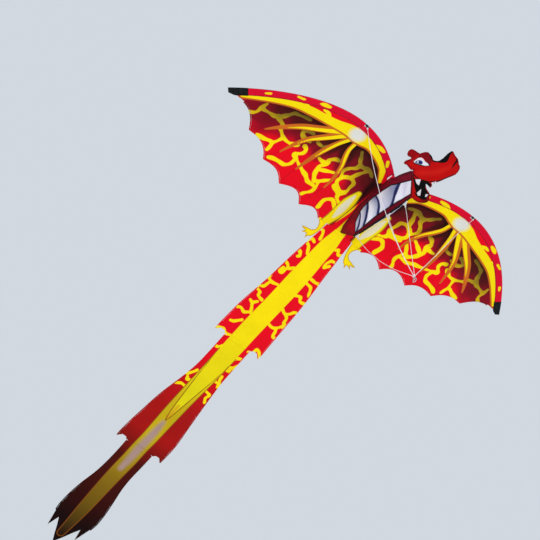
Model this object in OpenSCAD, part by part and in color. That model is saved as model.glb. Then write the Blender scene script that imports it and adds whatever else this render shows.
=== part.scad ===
// Single-line dragon kite with bat wings, a V-shaped keel body, a profile head and a three-part tail.
// Millimetres. +X is the animal's right, +Y is forward, +Z is up, and the belly faces down.
// The origin is the centre of the tow ring, where the flying line is tied.

/* [Wings] */
// Wingspan from tip to tip
wing_span = 1400; // [1000:10:2000]
// Depth of a wing from the front of its leading edge to the root cusp
wing_chord = 390; // [320:5:520]
// How far each wing bows down between its root and its tip
wing_bow = 32; // [10:1:60]
// Width of the leading edge sleeve
sleeve_w = 26; // [22:1:40]
// Length of the black pocket at each wing tip
pocket_len = 50; // [30:1:80]
// Length of the opening in the sleeve at the bridle clip
window_len = 18; // [14:1:30]
// Clear gap between the body's edge and a wing, where the fabric folds
fold_gap = 2.4; // [1.6:0.2:5]

/* [Body] */
// Length of the nose, from the spar connector to the head seam
nose_len = 58; // [40:2:90]
// Width of the body at the sail
body_w = 90; // [70:2:130]
// Depth of the keel below the sail
keel_depth = 110; // [80:2:150]
// How far the sides of the body bulge outwards
belly_bulge = 8; // [2:1:16]
// Height of the black keel binding
binding_h = 8; // [5:1:14]

/* [Head] */
// Length of the head from its seam to the nose
head_len = 200; // [140:5:280]

/* [Tail] */
// Length of each of the two front tail sections
tail_len = 547; // [400:1:700]
// Length of the last tail section
tail_end_len = 500; // [350:1:650]
// Width of a tail section across its barbs
tail_w = 210; // [160:2:280]
// Droop of the tail in flight
tail_droop = 16.7; // [5:0.1:30]
// Droop of the claw flaps in flight
claw_droop = 25; // [10:1:40]

/* [Rods and fittings] */
// Diameter of the leading edge spars
spar_d = 5; // [4:0.5:8]
// Diameter of the spine rod
spine_d = 5; // [4:0.5:8]
// Diameter of the neck stay
stay_d = 4; // [3:0.5:6]
// Thickness of a fitting's wall
fitting_wall = 1.5; // [1.2:0.1:2.5]
// Radius of the tow ring's hole
ring_r = 5.5; // [4:0.5:9]

/* [Fabric and bridle] */
// Thickness of the sail solids
sail_t = 1.2; // [0.8:0.1:2]
// Thickness of the doubled head profile
head_t = 1.6; // [1:0.1:3]
// Diameter of a bridle line
line_d = 2; // [1.6:0.1:3]

/* [Hidden] */

$fn = 48;
bridle_drop = 540;   // height of the sail above the tow ring, which the bridle lines fix
tow_y = 290;         // distance of the tow ring ahead of the body's rear point, fixed likewise
play = 0.05;         // radial play of a rod in its socket
gap = 0.5;           // clear gap between neighbouring pieces
seam_margin = 2;     // how far the centre panel reaches past the body on each side
centre_w = body_w + 2 * seam_margin;
sleeve_wall = 0.8;   // doubled fabric of the sleeve
sleeve_play = 0.7;   // room round the spar in its sleeve
fold_x = centre_w / 2 + fold_gap / 2;   // the line that a wing folds about
root_x = fold_x + fold_gap / 2;         // the inner edge of a wing
tip_x = wing_span / 2;
chord_k = wing_chord / 390;
spar_r = spar_d / 2;
spine_r = spine_d / 2;
stay_r = stay_d / 2;
nose_r = spar_r + sleeve_play + sleeve_wall;  // half thickness of the sleeve at the spar

// ---------- helpers ----------
function lerp(a, b, t) = a + (b - a) * t;
function unit(v) = v / norm(v);
function bez2(p, t) = lerp(lerp(p[0], p[1], t), lerp(p[1], p[2], t), t);
function bez3(p, t) = lerp(bez2([p[0], p[1], p[2]], t), bez2([p[1], p[2], p[3]], t), t);
function quad(a, b, c, d) = [[a, b, c], [a, c, d]];
function flat(l) = [for (a = l) for (b = a) b];

// Closed solid between two grids of points; a is the side that looks out with rows to the
// right and columns upwards.
module slab(a, b) {
    n = len(a);
    m = len(a[0]);
    h = n * m;
    faces = flat(concat(
        [for (i = [0:n - 2]) for (j = [0:m - 2]) let (p = i * m + j) quad(p, p + 1, p + m + 1, p + m)],
        [for (i = [0:n - 2]) for (j = [0:m - 2]) let (p = h + i * m + j)
            quad(p, p + m, p + m + 1, p + 1)],
        [for (i = [0:n - 2]) let (p = i * m) quad(p, p + m, h + p + m, h + p)],
        [for (i = [0:n - 2]) let (p = i * m + m - 1) quad(p, h + p, h + p + m, p + m)],
        [for (j = [0:m - 2]) quad(j, h + j, h + j + 1, j + 1)],
        [for (j = [0:m - 2]) let (p = h - m + j) quad(p, p + 1, h + p + 1, h + p)]));
    polyhedron(concat(flat(a), flat(b)), faces, convexity = 6);
}

// Closed solid through rings of points that turn right-handed about the way they follow.
module skin(rings) {
    n = len(rings);
    m = len(rings[0]);
    sides = [for (i = [0:n - 2]) for (k = [0:m - 1]) let (q = (k + 1) % m)
        quad(i * m + k, (i + 1) * m + k, (i + 1) * m + q, i * m + q)];
    caps = [[for (k = [0:m - 1]) k], [for (k = [m - 1:-1:0]) (n - 1) * m + k]];
    polyhedron(flat(rings), concat(flat(sides), caps), convexity = 6);
}

// The same with a second set of rings as its hollow, which may stop short of a closed end.
module hollow_skin(outer, inner, closed = false) {
    n = len(outer);
    m = len(outer[0]);
    h = n * m;
    e = (n - 1) * m;
    faces = flat(concat(
        [for (i = [0:n - 2]) for (k = [0:m - 1]) let (q = (k + 1) % m)
            quad(i * m + k, (i + 1) * m + k, (i + 1) * m + q, i * m + q)],
        [for (i = [0:n - 2]) for (k = [0:m - 1]) let (q = (k + 1) % m)
            quad(h + i * m + k, h + i * m + q, h + (i + 1) * m + q, h + (i + 1) * m + k)],
        [for (k = [0:m - 1]) let (q = (k + 1) % m) quad(k, q, h + q, h + k)],
        [for (k = [0:m - 1]) let (q = (k + 1) % m) if (!closed) quad(e + k, h + e + k, h + e + q, e + q)]));
    ends = closed ? [[for (k = [m - 1:-1:0]) e + k], [for (k = [0:m - 1]) h + e + k]] : [];
    polyhedron(concat(flat(outer), flat(inner)), concat(faces, ends), convexity = 6);
}

// Round tube along a list of points.
module tube(path, r, sides = 8) {
    n = len(path);
    skin([for (i = [0:n - 1])
        let (t = unit(path[min(i + 1, n - 1)] - path[max(i - 1, 0)]),
             u = unit(cross([0, 1, 0], t)), v = cross(t, u))
        [for (k = [0:sides - 1]) path[i] + r * (cos(k * 360 / sides) * u + sin(k * 360 / sides) * v)]]);
}

module rod(from, to, r) {
    v = to - from;
    translate(from) rotate([0, acos(v.z / norm(v)), atan2(v.y, v.x)]) cylinder(r = r, h = norm(v));
}

// The kite's own datum: centre of the body's rear point, on the sail.
module at_sail() { translate([0, -tow_y, bridle_drop]) children(); }

// ---------- wing geometry, for the right wing ----------
// Points of the outline are laid out on the base size and stretched to the chosen one.
base_tip = 700;
base_root = 49.6;
function fit_x(x) = root_x + (x - base_root) * (tip_x - root_x) / (base_tip - base_root);
function fit(p) = [fit_x(p.x), p.y * chord_k];
crest_s = 0.368;   // share of the span where the leading edge is furthest forward
front_in = [fit([49.6, 307]), fit([120, 356]), fit([200, 390]), fit([290, 390])];
front_out = [fit([290, 390]), fit([430, 390]), fit([578, 288]), fit([700, 155])];
function lead(s) = s < crest_s ? bez3(front_in, s / crest_s) : bez3(front_out, (s - crest_s) / (1 - crest_s));
function along(s) = unit(lead(min(1, s + 0.004)) - lead(max(0, s - 0.004)));
// Way into the sail, sheared near the root so that the sleeve ends square to the fold.
function inward(s) = let (t = along(s), k = -t.y / t.x * max(0, 1 - s / 0.06))
    [t.y, -t.x] + k * t;
function bow(x) = -wing_bow * sin(180 * max(0, (x - root_x) / (tip_x - root_x)));
// A point a millimetres behind the leading edge and b above the sail.
function wing_pt(s, a, b) = let (p = lead(s) + a * inward(s)) [p.x, p.y, bow(p.x) + b];

// Trailing edge: a straight root, then five scallops between cusps.
cusp_s = [0, 0.09, 0.242, 0.419, 0.581, 0.75, 1];
function scallop(i) = [
    [fit([49.6, 0]), fit([78, 0]), fit([107, 0])],
    [fit([107, 0]), fit([155, 48]), fit([207, 2])],
    [fit([207, 2]), fit([255, 69]), fit([323, 20])],
    [fit([323, 20]), fit([365, 72]), fit([430, 52])],
    [fit([430, 52]), fit([470, 112]), fit([541, 97])],
    [fit([541, 97]), fit([588, 176]), lead(1) + (sleeve_w + 2 * gap) * inward(1)]][i];
function segment(s) = s < cusp_s[1] ? 0 : s < cusp_s[2] ? 1 : s < cusp_s[3] ? 2
    : s < cusp_s[4] ? 3 : s < cusp_s[5] ? 4 : 5;
function trail(s) = let (i = segment(s)) bez2(scallop(i), (s - cusp_s[i]) / (cusp_s[i + 1] - cusp_s[i]));
steps = 7;
stations = concat([for (i = [0:5]) for (k = [0:steps - 1])
    lerp(cusp_s[i], cusp_s[i + 1], k / steps)], [0.995]);

clip_s = 0.345;      // share of the span where the bridle clip sits
socket_len = 16;     // length of the cup that holds the spar's root
sleeve_s = 0.04;     // the sleeve starts clear of that cup
wing_run = norm(lead(1) - lead(0));   // straight distance that turns millimetres into shares
window_s = window_len / wing_run / 2;
pocket_s = 1 - pocket_len / wing_run;
plug_s = 1 - 10 / wing_run;        // the pocket is closed from here on
spar_end_s = 1 - 24 / wing_run;    // the spar stops here, and its cap fills the rest
socket_play = 0.2;                 // the bent spar needs a little more room in a straight cup

// Teardrop section of the sleeve: round at the spar, flat at its seam.
function teardrop(r, w, edge) = concat(
    [[nose_r, r], [nose_r + 2.2 * r, 0.45 * r], [w, edge], [w, -edge], [nose_r + 2.2 * r, -0.45 * r]],
    [for (a = [270, 225, 180, 135]) [nose_r + r * cos(a), r * sin(a)]]);
function swept(list, section) = [for (s = list) [for (p = section) wing_pt(s, p.x, p.y)]];

module wing_sail() {
    rows = 7;
    front = function(s) let (p = wing_pt(s, sleeve_w + gap, 0)) [p.x, p.y];
    grid = function(b) [for (s = stations) [for (j = [0:rows])
        let (p = lerp(trail(s), front(s), j / rows)) [p.x, p.y, bow(p.x) + b]]];
    slab(grid(sail_t / 2), grid(-sail_t / 2));
}
module sleeve_stretch(s0, s1, n) {
    list = [for (i = [0:n]) lerp(s0, s1, i / n)];
    hollow_skin(swept(list, teardrop(nose_r, sleeve_w, sail_t / 2)),
        swept(list, teardrop(nose_r - sleeve_wall, sleeve_w - 5, 0.2)));
}
module spar_sleeve() {
    sleeve_stretch(sleeve_s, clip_s - window_s, 12);
    sleeve_stretch(clip_s + window_s, pocket_s - 0.002, 18);
}
module wing_spar() {
    ring = [for (k = [0:9]) [nose_r + spar_r * sin(k * 36), spar_r * cos(k * 36)]];
    skin(swept([for (i = [0:34]) lerp(0.004, spar_end_s, i / 34)], ring));
}
module spar_socket() {
    r = spar_r + socket_play;
    ring = function(q) [for (k = [0:15]) [nose_r + q * sin(k * 22.5), q * cos(k * 22.5)]];
    list = [0, 0.01, 0.02, socket_len / wing_run];
    hollow_skin(swept(list, ring(r + fitting_wall)), swept(list, ring(r)));
}
module tip_pocket() {
    list = function(end) [for (i = [0:5]) lerp(pocket_s, end, i / 5)];
    hollow_skin(swept(list(1), teardrop(nose_r + 0.4, sleeve_w, sail_t)),
        swept(list(plug_s), teardrop(nose_r - sleeve_wall, sleeve_w - 5, 0.2)), true);
}
module spar_tip() {
    ring = function(q) [for (k = [0:9]) [nose_r + q * sin(k * 36), q * cos(k * 36)]];
    skin([for (q = [[0, 1], [7, 1], [11, 0.8], [13, 0.4]])
        [for (p = ring(q[1] * spar_r)) wing_pt(spar_end_s + q[0] / wing_run, p.x, p.y)]]);
}
module bridle_clip() {
    c = wing_pt(clip_s, nose_r, 0);
    t = wing_pt(clip_s + 0.004, nose_r, 0) - wing_pt(clip_s - 0.004, nose_r, 0);
    r = spar_r + socket_play;
    ear = r + fitting_wall + 2.4;
    translate(c) rotate([0, acos(t.z / norm(t)), atan2(t.y, t.x)]) difference() {
        union() {
            cylinder(r = r + fitting_wall, h = 8, center = true);
            translate([ear, 0, 0]) cylinder(r = 3.2, h = 3, center = true);
        }
        cylinder(r = r, h = 9, center = true);
        translate([ear + 0.4, 0, 0]) cylinder(r = 1.4, h = 9, center = true);
    }
}
module wing(side) { at_sail() if (side > 0) children(); else mirror([1, 0, 0]) children(); }

// ---------- where the spars' roots meet the spine ----------
spar_root = wing_pt(0, nose_r, 0);
spar_way = along(0);
arm_slope = spar_way.y / spar_way.x;
meet_y = spar_root.y - spar_root.x * arm_slope;   // where their axes cross the centre
arm_r = spar_r + play + fitting_wall;
arm_end = centre_w / 2 - arm_r * spar_way.y - gap;   // the arms stop clear of the fold
hub_y = meet_y - 6;
hub_len = 30;
hub_w = 2 * (arm_r + 6);
body_len = hub_y + hub_len + nose_len;   // from the body's rear point to the head seam
module arms(r) {
    for (x = [-arm_end, arm_end]) rod([0, meet_y, 0], [x, meet_y + arm_end * arm_slope, 0], r);
}

// ---------- body geometry ----------
function top_y(s) = lerp(4, body_len - 0.6, s);
function rise(y) = lookup(y / body_len, [[0, 0], [0.86, 0], [1, 22]]);
function half_w(s) = max(1.8, body_w / 2 * lookup(s,
    [[0, 0.04], [0.085, 0.38], [0.26, 0.71], [0.4, 0.93], [0.55, 1], [0.82, 1], [0.9, 0.62], [1, 0.04]]));
function keel_y(s) = lerp(0.18, 0.93, s) * body_len;
function keel_z(s) = -keel_depth * lookup(s,
    [[0, 0.71], [0.16, 0.8], [0.36, 0.87], [0.58, 0.93], [0.88, 1.02], [1, 1]]);
function ridge(s) = [half_w(s), top_y(s), rise(top_y(s)) - sail_t / 2 - 0.3];
function keel(s) = [1.8, keel_y(s), keel_z(s)];
// A point of the right side, t from 0 at the sail to 1 at the keel.
function side_pt(s, t) = let (a = ridge(s), b = keel(s),
    c = [a.x + belly_bulge * sin(180 * s), lerp(a.y, b.y, 0.5), lerp(a.z, b.z, 0.55)])
    bez2([a, c, b], t);
function seam_t(s) = lookup(s, [[0, 0.97], [0.05, 0.95], [0.1, 0.78], [0.2, 0.52], [0.35, 0.34],
    [0.5, 0.28], [0.7, 0.29], [0.85, 0.33], [1, 0.35]]);
body_rows = 28;
module side_panel(from, to, cols) {
    grid = function(d) [for (i = [0:body_rows]) let (s = i / body_rows) [for (j = [0:cols])
        let (p = side_pt(s, lerp(from(s), to(s), 1 - j / cols))) [max(0.5, p.x - d), p.y, p.z]]];
    slab(grid(sail_t), grid(0));
}
module flank() {
    difference() {
        side_panel(function(s) 0, function(s) seam_t(s), 4);
        arms(arm_r + gap);
    }
}
module belly() { side_panel(function(s) seam_t(s), function(s) 1, 8); }

module keel_binding() {
    edge = function(s, x) [for (h = [binding_h, 0.3]) [x, keel_y(s), keel_z(s) - h]];
    at_sail() slab(
        [for (i = [0:body_rows]) edge(i / body_rows, 2)], [for (i = [0:body_rows]) edge(i / body_rows, -2)]);
}
tab_h = 18;
tab_sink = 2;       // how deep a tab is sewn into the binding
eyelet_r = 2;
tab_s = [0.9, 0.61, 0.06];   // places of the front, middle and rear tabs along the keel
module keel_tab(s) {
    at_sail() translate([0, keel_y(s), keel_z(s) - binding_h + tab_sink]) rotate([90, 0, 90]) difference() {
        linear_extrude(2, center = true)
            polygon([[-11, 0], [11, 0], [4, 4 - tab_h], [2, -tab_h], [-2, -tab_h], [-4, 4 - tab_h]]);
        translate([0, 5 - tab_h, 0]) cylinder(r = eyelet_r, h = 4, center = true);
    }
}

spine_z = -(spine_r + sail_t / 2 + fitting_wall + 1.5);
hub_low = spine_z - spine_r - fitting_wall - 0.5;
socket_d = 13;      // depth of the sockets in the hub
module nose_connector() {
    r1 = spine_r + play;
    r2 = stay_r + play;
    at_sail() difference() {
        union() {
            hull() for (x = [-1, 1]) for (y = [hub_y + 3, hub_y + hub_len - 3])
                translate([x * (hub_w / 2 - 3), y, hub_low]) cylinder(r = 3, h = arm_r - hub_low, $fn = 32);
            arms(arm_r);
        }
        translate([0, hub_y - 1, spine_z]) rotate([-90, 0, 0]) cylinder(r = r1, h = socket_d + 1);
        translate([0, hub_y + hub_len - socket_d, spine_z]) rotate([-90, 0, 0])
            cylinder(r = r2, h = socket_d + 1);
    }
}
spine_back = 0.1 * body_len;
module spine_rod() {
    at_sail() translate([0, spine_back, spine_z]) rotate([-90, 0, 0])
        cylinder(r = spine_r, h = hub_y + socket_d - 0.5 - spine_back);
}
module neck_stay() {
    from = hub_y + hub_len - socket_d + 0.5;
    at_sail() translate([0, from, spine_z]) rotate([-90, 0, 0])
        cylinder(r = stay_r, h = 0.955 * body_len - from);
}
module spine_end_cap() {
    r = spine_r + play;
    at_sail() translate([0, spine_back - 4.5, spine_z]) rotate([-90, 0, 0]) difference() {
        cylinder(r = r + fitting_wall, h = 14);
        translate([0, 0, 4]) cylinder(r = r, h = 11);
    }
}
module spine_loops() {
    r = spine_r + 0.3;
    places = [hub_y / 3, hub_y * 2 / 3, hub_y - 17];
    at_sail() for (y = places) translate([0, y, spine_z]) rotate([-90, 0, 0]) difference() {
        union() {
            cylinder(r = r + 0.8, h = 16, center = true);
            translate([-2.5, spine_z + sail_t / 2, -8]) cube([5, -spine_z - sail_t / 2 - r, 16]);
        }
        cylinder(r = r, h = 17, center = true);
    }
}
module centre_panel() {
    x = centre_w / 2;
    back = (arm_r + 1.5) / spar_way.x;
    h = hub_w / 2 + 1.5;
    front = function(q) meet_y + q * arm_slope - back;
    at_sail() linear_extrude(sail_t, center = true) polygon([[-x, 0], [x, 0], [x, front(x)],
        [h, min(front(h), hub_y - 1.5)], [-h, min(front(h), hub_y - 1.5)], [-x, front(x)]]);
}
module nose_cover() {
    y0 = hub_y + hub_len + 1.5;
    back = (arm_r + 1.5) / spar_way.x;
    open_w = function(y) (y - meet_y - back) / arm_slope;   // clear of the spar arms
    edge_w = function(y) half_w((y - 4) / (body_len - 4.6)) - 0.2;
    width = function(y) min(open_w(y), edge_w(y));
    grid = function(d) [for (i = [0:12]) let (y = lerp(y0, body_len - 1.5, i / 12))
        [for (j = [-3:3]) [-j / 3 * width(y), y, rise(y) + d + 2 * (1 - j * j / 9)]]];
    at_sail() slab(grid(sail_t / 2), grid(-sail_t / 2));
}

// ---------- head ----------
head_k = head_len / 200;
seam_top = [body_len + 1.4, rise(body_len) - sail_t];
seam_low = [keel_y(1) + 1.4, keel_z(1)];
// Profile as distances ahead of the seam's top and above it, for a 200 mm head.
skull = [[2, 4], [-6, 10], [-11, 25], [-16, 42], [-21, 60], [-29, 72], [-32, 81], [-28, 88], [-18, 86],
    [-8, 79], [1, 74], [3, 80], [-5, 94], [-11, 108], [-11, 120], [-5, 129], [4, 130], [13, 123], [22, 107],
    [30, 89], [37, 73], [43, 61], [51, 57], [62, 49], [72, 39], [79, 27], [82, 15], [86, 3], [89, -11],
    [90, -25], [92, -34]];
snout = [[98, -44], [105, -53], [115, -61], [131, -63], [151, -58], [169, -60], [175, -70], [176, -84],
    [180, -104], [185, -124], [186, -142], [185, -159], [188, -174], [185, -188], [176, -198], [165, -201],
    [151, -195], [136, -187], [119, -179], [101, -172], [91, -166], [83, -162], [76, -158], [69, -151]];
mouth = [[66, -165], [58, -166], [54, -154], [49, -138], [43, -127], [42, -146], [45, -166], [49, -181]];
jaw = [[51, -190], [51, -208], [46, -222], [37, -229], [23, -220], [7, -202], [-6, -182], [-16, -160]];
module head() {
    at_sail() rotate([90, 0, 90]) linear_extrude(head_t, center = true)
        polygon(concat([seam_top + [1.4, 0]],
            [for (p = concat(skull, snout, mouth, jaw)) seam_top + [1.4, 0] + head_k * p],
            [seam_low + [1.4, 0]]));
}

// ---------- tail and claws ----------
hinge_y = -fold_gap / 2;
module tail_plane() { at_sail() translate([0, hinge_y, 0]) rotate([tail_droop, 0, 0]) children(); }
tail_front_side = [[0, 0.55], [0.1, 0.6], [0.2, 0.67], [0.4, 0.77], [0.6, 0.87], [0.8, 0.96], [0.97, 1]];
tail_middle_side = [[0, 0.56], [0.15, 0.56], [0.28, 0.57], [0.4, 0.65], [0.55, 0.78], [0.7, 0.89],
    [0.85, 0.98], [0.97, 1]];
tail_rear_side = [[0, 0.56], [0.2, 0.55], [0.34, 0.6], [0.48, 0.72], [0.6, 0.8], [0.7, 0.82]];
neck_share = 0.56;   // half width of a section's front edge
function barb(len) = [[0.99, len + 6], [0.86, len - 8], [0.7, len - 8], [neck_share + 0.06, len]];
module tail_section(start, len, side, end) {
    w = tail_w / 2;
    right = concat([for (p = side) [p[1] * w, start + p[0] * len]], [for (p = end) [p[0] * w, start + p[1]]]);
    left = [for (i = [len(right) - 1:-1:0]) [-right[i][0], right[i][1]]];
    tail_plane() linear_extrude(sail_t, center = true) polygon([for (p = concat(right, left)) [p[0], -p[1]]]);
}
module tail_front() {
    tail_section(fold_gap / 2, tail_len - fold_gap, tail_front_side, barb(tail_len - fold_gap));
}
module tail_middle() {
    tail_section(tail_len + fold_gap / 2, tail_len - fold_gap, tail_middle_side, barb(tail_len - fold_gap));
}
// The last section ends in three flames.
module tail_rear() {
    e = tail_end_len;
    tail_section(2 * tail_len + fold_gap / 2, e, tail_rear_side,
        [[0.78, e * 0.76], [0.62, e * 0.9], [0.5, e * 0.8], [0.34, e * 0.86], [0.18, e * 0.93], [0, e]]);
}
claw_outline = [[0, 0], [44, 0], [33, 6], [24, 16], [19, 30], [21, 42], [32, 51], [50, 54], [72, 60],
    [62, 65], [50, 65], [60, 78], [46, 73], [38, 72], [36, 88], [28, 76], [20, 72], [12, 60], [6, 42],
    [2, 20]];
module claw() {
    x0 = tail_w / 2 * 0.62;
    translate([0, hinge_y, 0]) rotate([claw_droop, 0, 0]) linear_extrude(sail_t, center = true)
        polygon([for (p = claw_outline) [x0 + p[0], -fold_gap / 2 - p[1]]]);
}

// ---------- bridle ----------
// Points of each line from its tab or clip down to the knot.
front_line = [[0, 9, 403], [0, 9, 375], [0, 9, 345], [0, 8, 315], [0, 8, 285], [0, 7, 255], [0, 6, 225],
    [0, 6, 195], [0, 5, 165], [0, 4, 135], [0, 4, 105], [0, 3, 75], [0, 3, 48], [0, 3, 23]];
middle_line = [[0, -67, 411], [0, -65, 380], [0, -61, 350], [0, -57, 320], [0, -53, 290], [0, -48, 260],
    [0, -43, 230], [0, -38, 200], [0, -32, 170], [0, -26, 140], [0, -20, 110], [0, -14, 80], [0, -7, 50],
    [0, 0, 23]];
rear_line = [[0, -211, 433], [0, -201, 400], [0, -191, 370], [0, -180, 340], [0, -168, 310], [0, -155, 280],
    [0, -141, 250], [0, -127, 220], [0, -111, 190], [0, -94, 160], [0, -76, 130], [0, -57, 100], [0, -36, 70],
    [0, -18, 45], [0, -3, 23]];
right_line = [[273, 96, 501], [255, 82, 470], [235, 68, 435], [215, 55, 400], [195, 44, 365], [175, 34, 330],
    [156, 25, 295], [137, 18, 260], [117, 11, 225], [98, 6, 190], [78, 2, 155], [58, 0, 120], [38, -1, 85],
    [18, 0, 50], [3, 0, 23]];
left_line = [[-273, 96, 501], [-255, 89, 470], [-235, 81, 435], [-215, 74, 400], [-195, 66, 365],
    [-175, 59, 330], [-156, 52, 295], [-137, 44, 260], [-117, 38, 225], [-98, 31, 190], [-78, 24, 155],
    [-58, 18, 120], [-38, 11, 85], [-18, 5, 50], [-3, 0, 23]];
module bridle_leg(path) { tube(path, line_d / 2); }

ring_t = 3;
eye_r = 1.8;        // hole of the small eye on top of the ring, which the bridle is looped through
eye_wall = 2;
eye_z = ring_r + ring_t + eye_r + 0.1;
cord_loop_r = line_d / 2;
module tow_ring() {
    b = ring_t / 2;
    rotate([0, 90, 0]) rotate_extrude() translate([ring_r, 0]) polygon([[0, 0.5 - b], [0, b - 0.5], [0.5, b],
        [ring_t - 0.5, b], [ring_t, b - 0.5], [ring_t, 0.5 - b], [ring_t - 0.5, -b], [0.5, -b]]);
    translate([0, 0, eye_z]) rotate([0, 90, 0]) difference() {
        cylinder(r = eye_r + eye_wall, h = ring_t - 0.6, center = true);
        cylinder(r = eye_r, h = ring_t, center = true);
    }
}
module bridle_knot() {
    mid_z = eye_z + eye_r + eye_wall / 2;
    loop_r = norm([eye_wall / 2, ring_t / 2 - 0.3]) + cord_loop_r + 0.1;
    low = mid_z + loop_r;
    top = 22.6;
    translate([0, 0, mid_z]) rotate([90, 0, 0]) rotate_extrude() translate([loop_r, 0])
        circle(r = cord_loop_r, $fn = 16);
    translate([0, 0, low]) cylinder(r1 = 2.6, r2 = 4.6, h = 3);
    translate([0, 0, low + 3]) cylinder(r = 4.6, h = top - low - 3);
}

// ---------- pieces ----------
red = "#d1142a";
maroon = "#7e0822";
white = "#f1f0fe";
black = "#101013";
yellow = "#f6e10c";
carbon = "#2a2a2c";

color(carbon) spine_rod();
color(black) spine_end_cap();
color(red) spine_loops();
color(carbon) neck_stay();
color(black) nose_connector();
color(red) centre_panel();
color(maroon) nose_cover();
color(maroon) wing(1) flank();  // right_flank
color(maroon) wing(-1) flank();  // left_flank
color(white) wing(1) belly();  // right_belly
color(white) wing(-1) belly();  // left_belly
color(black) keel_binding();
color(white) keel_tab(tab_s[0]);  // front_keel_tab
color(white) keel_tab(tab_s[1]);  // middle_keel_tab
color(white) keel_tab(tab_s[2]);  // rear_keel_tab
color(white) bridle_leg(front_line);  // front_bridle_leg
color(white) bridle_leg(middle_line);  // middle_bridle_leg
color(white) bridle_leg(rear_line);  // rear_bridle_leg
color(white) bridle_leg(right_line);  // right_bridle_leg
color(white) bridle_leg(left_line);  // left_bridle_leg
color(white) bridle_knot();
color("silver") tow_ring();
color(red) wing(1) wing_sail();  // right_wing_sail
color(red) wing(1) spar_sleeve();  // right_spar_sleeve
color(carbon) wing(1) wing_spar();  // right_wing_spar
color(black) wing(1) spar_socket();  // right_spar_socket
color(black) wing(1) tip_pocket();  // right_tip_pocket
color(black) wing(1) spar_tip();  // right_spar_tip
color(black) wing(1) bridle_clip();  // right_bridle_clip
color(red) wing(-1) wing_sail();  // left_wing_sail
color(red) wing(-1) spar_sleeve();  // left_spar_sleeve
color(carbon) wing(-1) wing_spar();  // left_wing_spar
color(black) wing(-1) spar_socket();  // left_spar_socket
color(black) wing(-1) tip_pocket();  // left_tip_pocket
color(black) wing(-1) spar_tip();  // left_spar_tip
color(black) wing(-1) bridle_clip();  // left_bridle_clip
color(red) head();
color(yellow) wing(1) claw();  // right_claw
color(yellow) wing(-1) claw();  // left_claw
color(yellow) tail_front();
color(yellow) tail_middle();
color(red) tail_rear();
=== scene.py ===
import math

import bmesh
import bpy
import numpy as np
from bpy.props import FloatProperty, PointerProperty, StringProperty
from mathutils import Matrix, Vector


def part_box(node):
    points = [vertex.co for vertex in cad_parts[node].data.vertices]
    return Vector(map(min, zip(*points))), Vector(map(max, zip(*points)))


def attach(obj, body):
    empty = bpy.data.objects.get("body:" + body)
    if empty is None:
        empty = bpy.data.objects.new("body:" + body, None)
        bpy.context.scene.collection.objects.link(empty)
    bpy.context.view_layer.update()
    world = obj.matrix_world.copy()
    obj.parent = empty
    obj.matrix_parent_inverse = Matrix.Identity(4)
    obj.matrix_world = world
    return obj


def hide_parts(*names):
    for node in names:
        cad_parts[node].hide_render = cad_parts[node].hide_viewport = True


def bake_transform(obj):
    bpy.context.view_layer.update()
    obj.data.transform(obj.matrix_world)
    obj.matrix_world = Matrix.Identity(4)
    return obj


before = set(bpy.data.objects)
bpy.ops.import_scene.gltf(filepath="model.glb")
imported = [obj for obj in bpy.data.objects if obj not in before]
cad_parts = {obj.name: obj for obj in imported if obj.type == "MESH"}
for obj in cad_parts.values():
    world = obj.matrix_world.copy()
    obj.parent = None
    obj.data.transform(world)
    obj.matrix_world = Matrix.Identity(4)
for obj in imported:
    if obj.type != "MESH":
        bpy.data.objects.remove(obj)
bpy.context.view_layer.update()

bl_info = {
    "name": "Dragon Kite",
    "version": (1, 0, 0),
    "blender": (4, 5, 0),
    "location": "View3D > Sidebar > Kite",
    "description": "Printed sails, keel body, head, tail and bridle of a single-line dragon kite",
    "category": "Object",
}

MM = 0.001
# The sail's datum: the body's rear point, at the middle of the centre panel's thickness.
PANEL_LOW, PANEL_HIGH = (Vector(c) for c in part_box("centre_panel"))
DATUM = Vector((0.0, PANEL_LOW.y, (PANEL_LOW.z + PANEL_HIGH.z) / 2))
ROOT_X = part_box("right_wing_sail")[0][0] / MM
TIP_X = 700.0
SIDES = {"right": 1, "left": -1}


# ---------------------------------------------------------------- settings

class KiteSizes(bpy.types.PropertyGroup):
    """Sizes in millimetres that set how the cloth lies and how fine it is cut."""
    cloth_step: FloatProperty(name="Cloth step", description="Spacing of the cut cloth's mesh, in mm",
                              default=5.0, min=2.0, max=12.0)
    cloth_thickness: FloatProperty(name="Cloth thickness", description="Thickness of hemmed sailcloth",
                                   default=0.0005, unit="LENGTH")
    wing_bow: FloatProperty(name="Wing bow", description="How far a wing bows down along its spar, in mm",
                            default=32.0)
    sleeve_width: FloatProperty(name="Sleeve width", description="Width of the spar sleeve, in mm",
                                default=26.0)
    billow: FloatProperty(name="Billow", description="How far the wind fills the cloth between bones, in mm",
                          default=6.0, min=0.0, max=10.0)
    belly_bulge: FloatProperty(name="Belly bulge", description="How far the body's sides bulge out, in mm",
                               default=8.0)
    line_diameter: FloatProperty(name="Bridle line", description="Diameter of a bridle line",
                                 default=0.002, unit="LENGTH")
    ripstop_cell: FloatProperty(name="Ripstop cell", description="Spacing of the ripstop's thick threads",
                                default=0.006, unit="LENGTH")


def hex_colour(name, value, text):
    return StringProperty(name=name, description=text, default=value)


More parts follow.
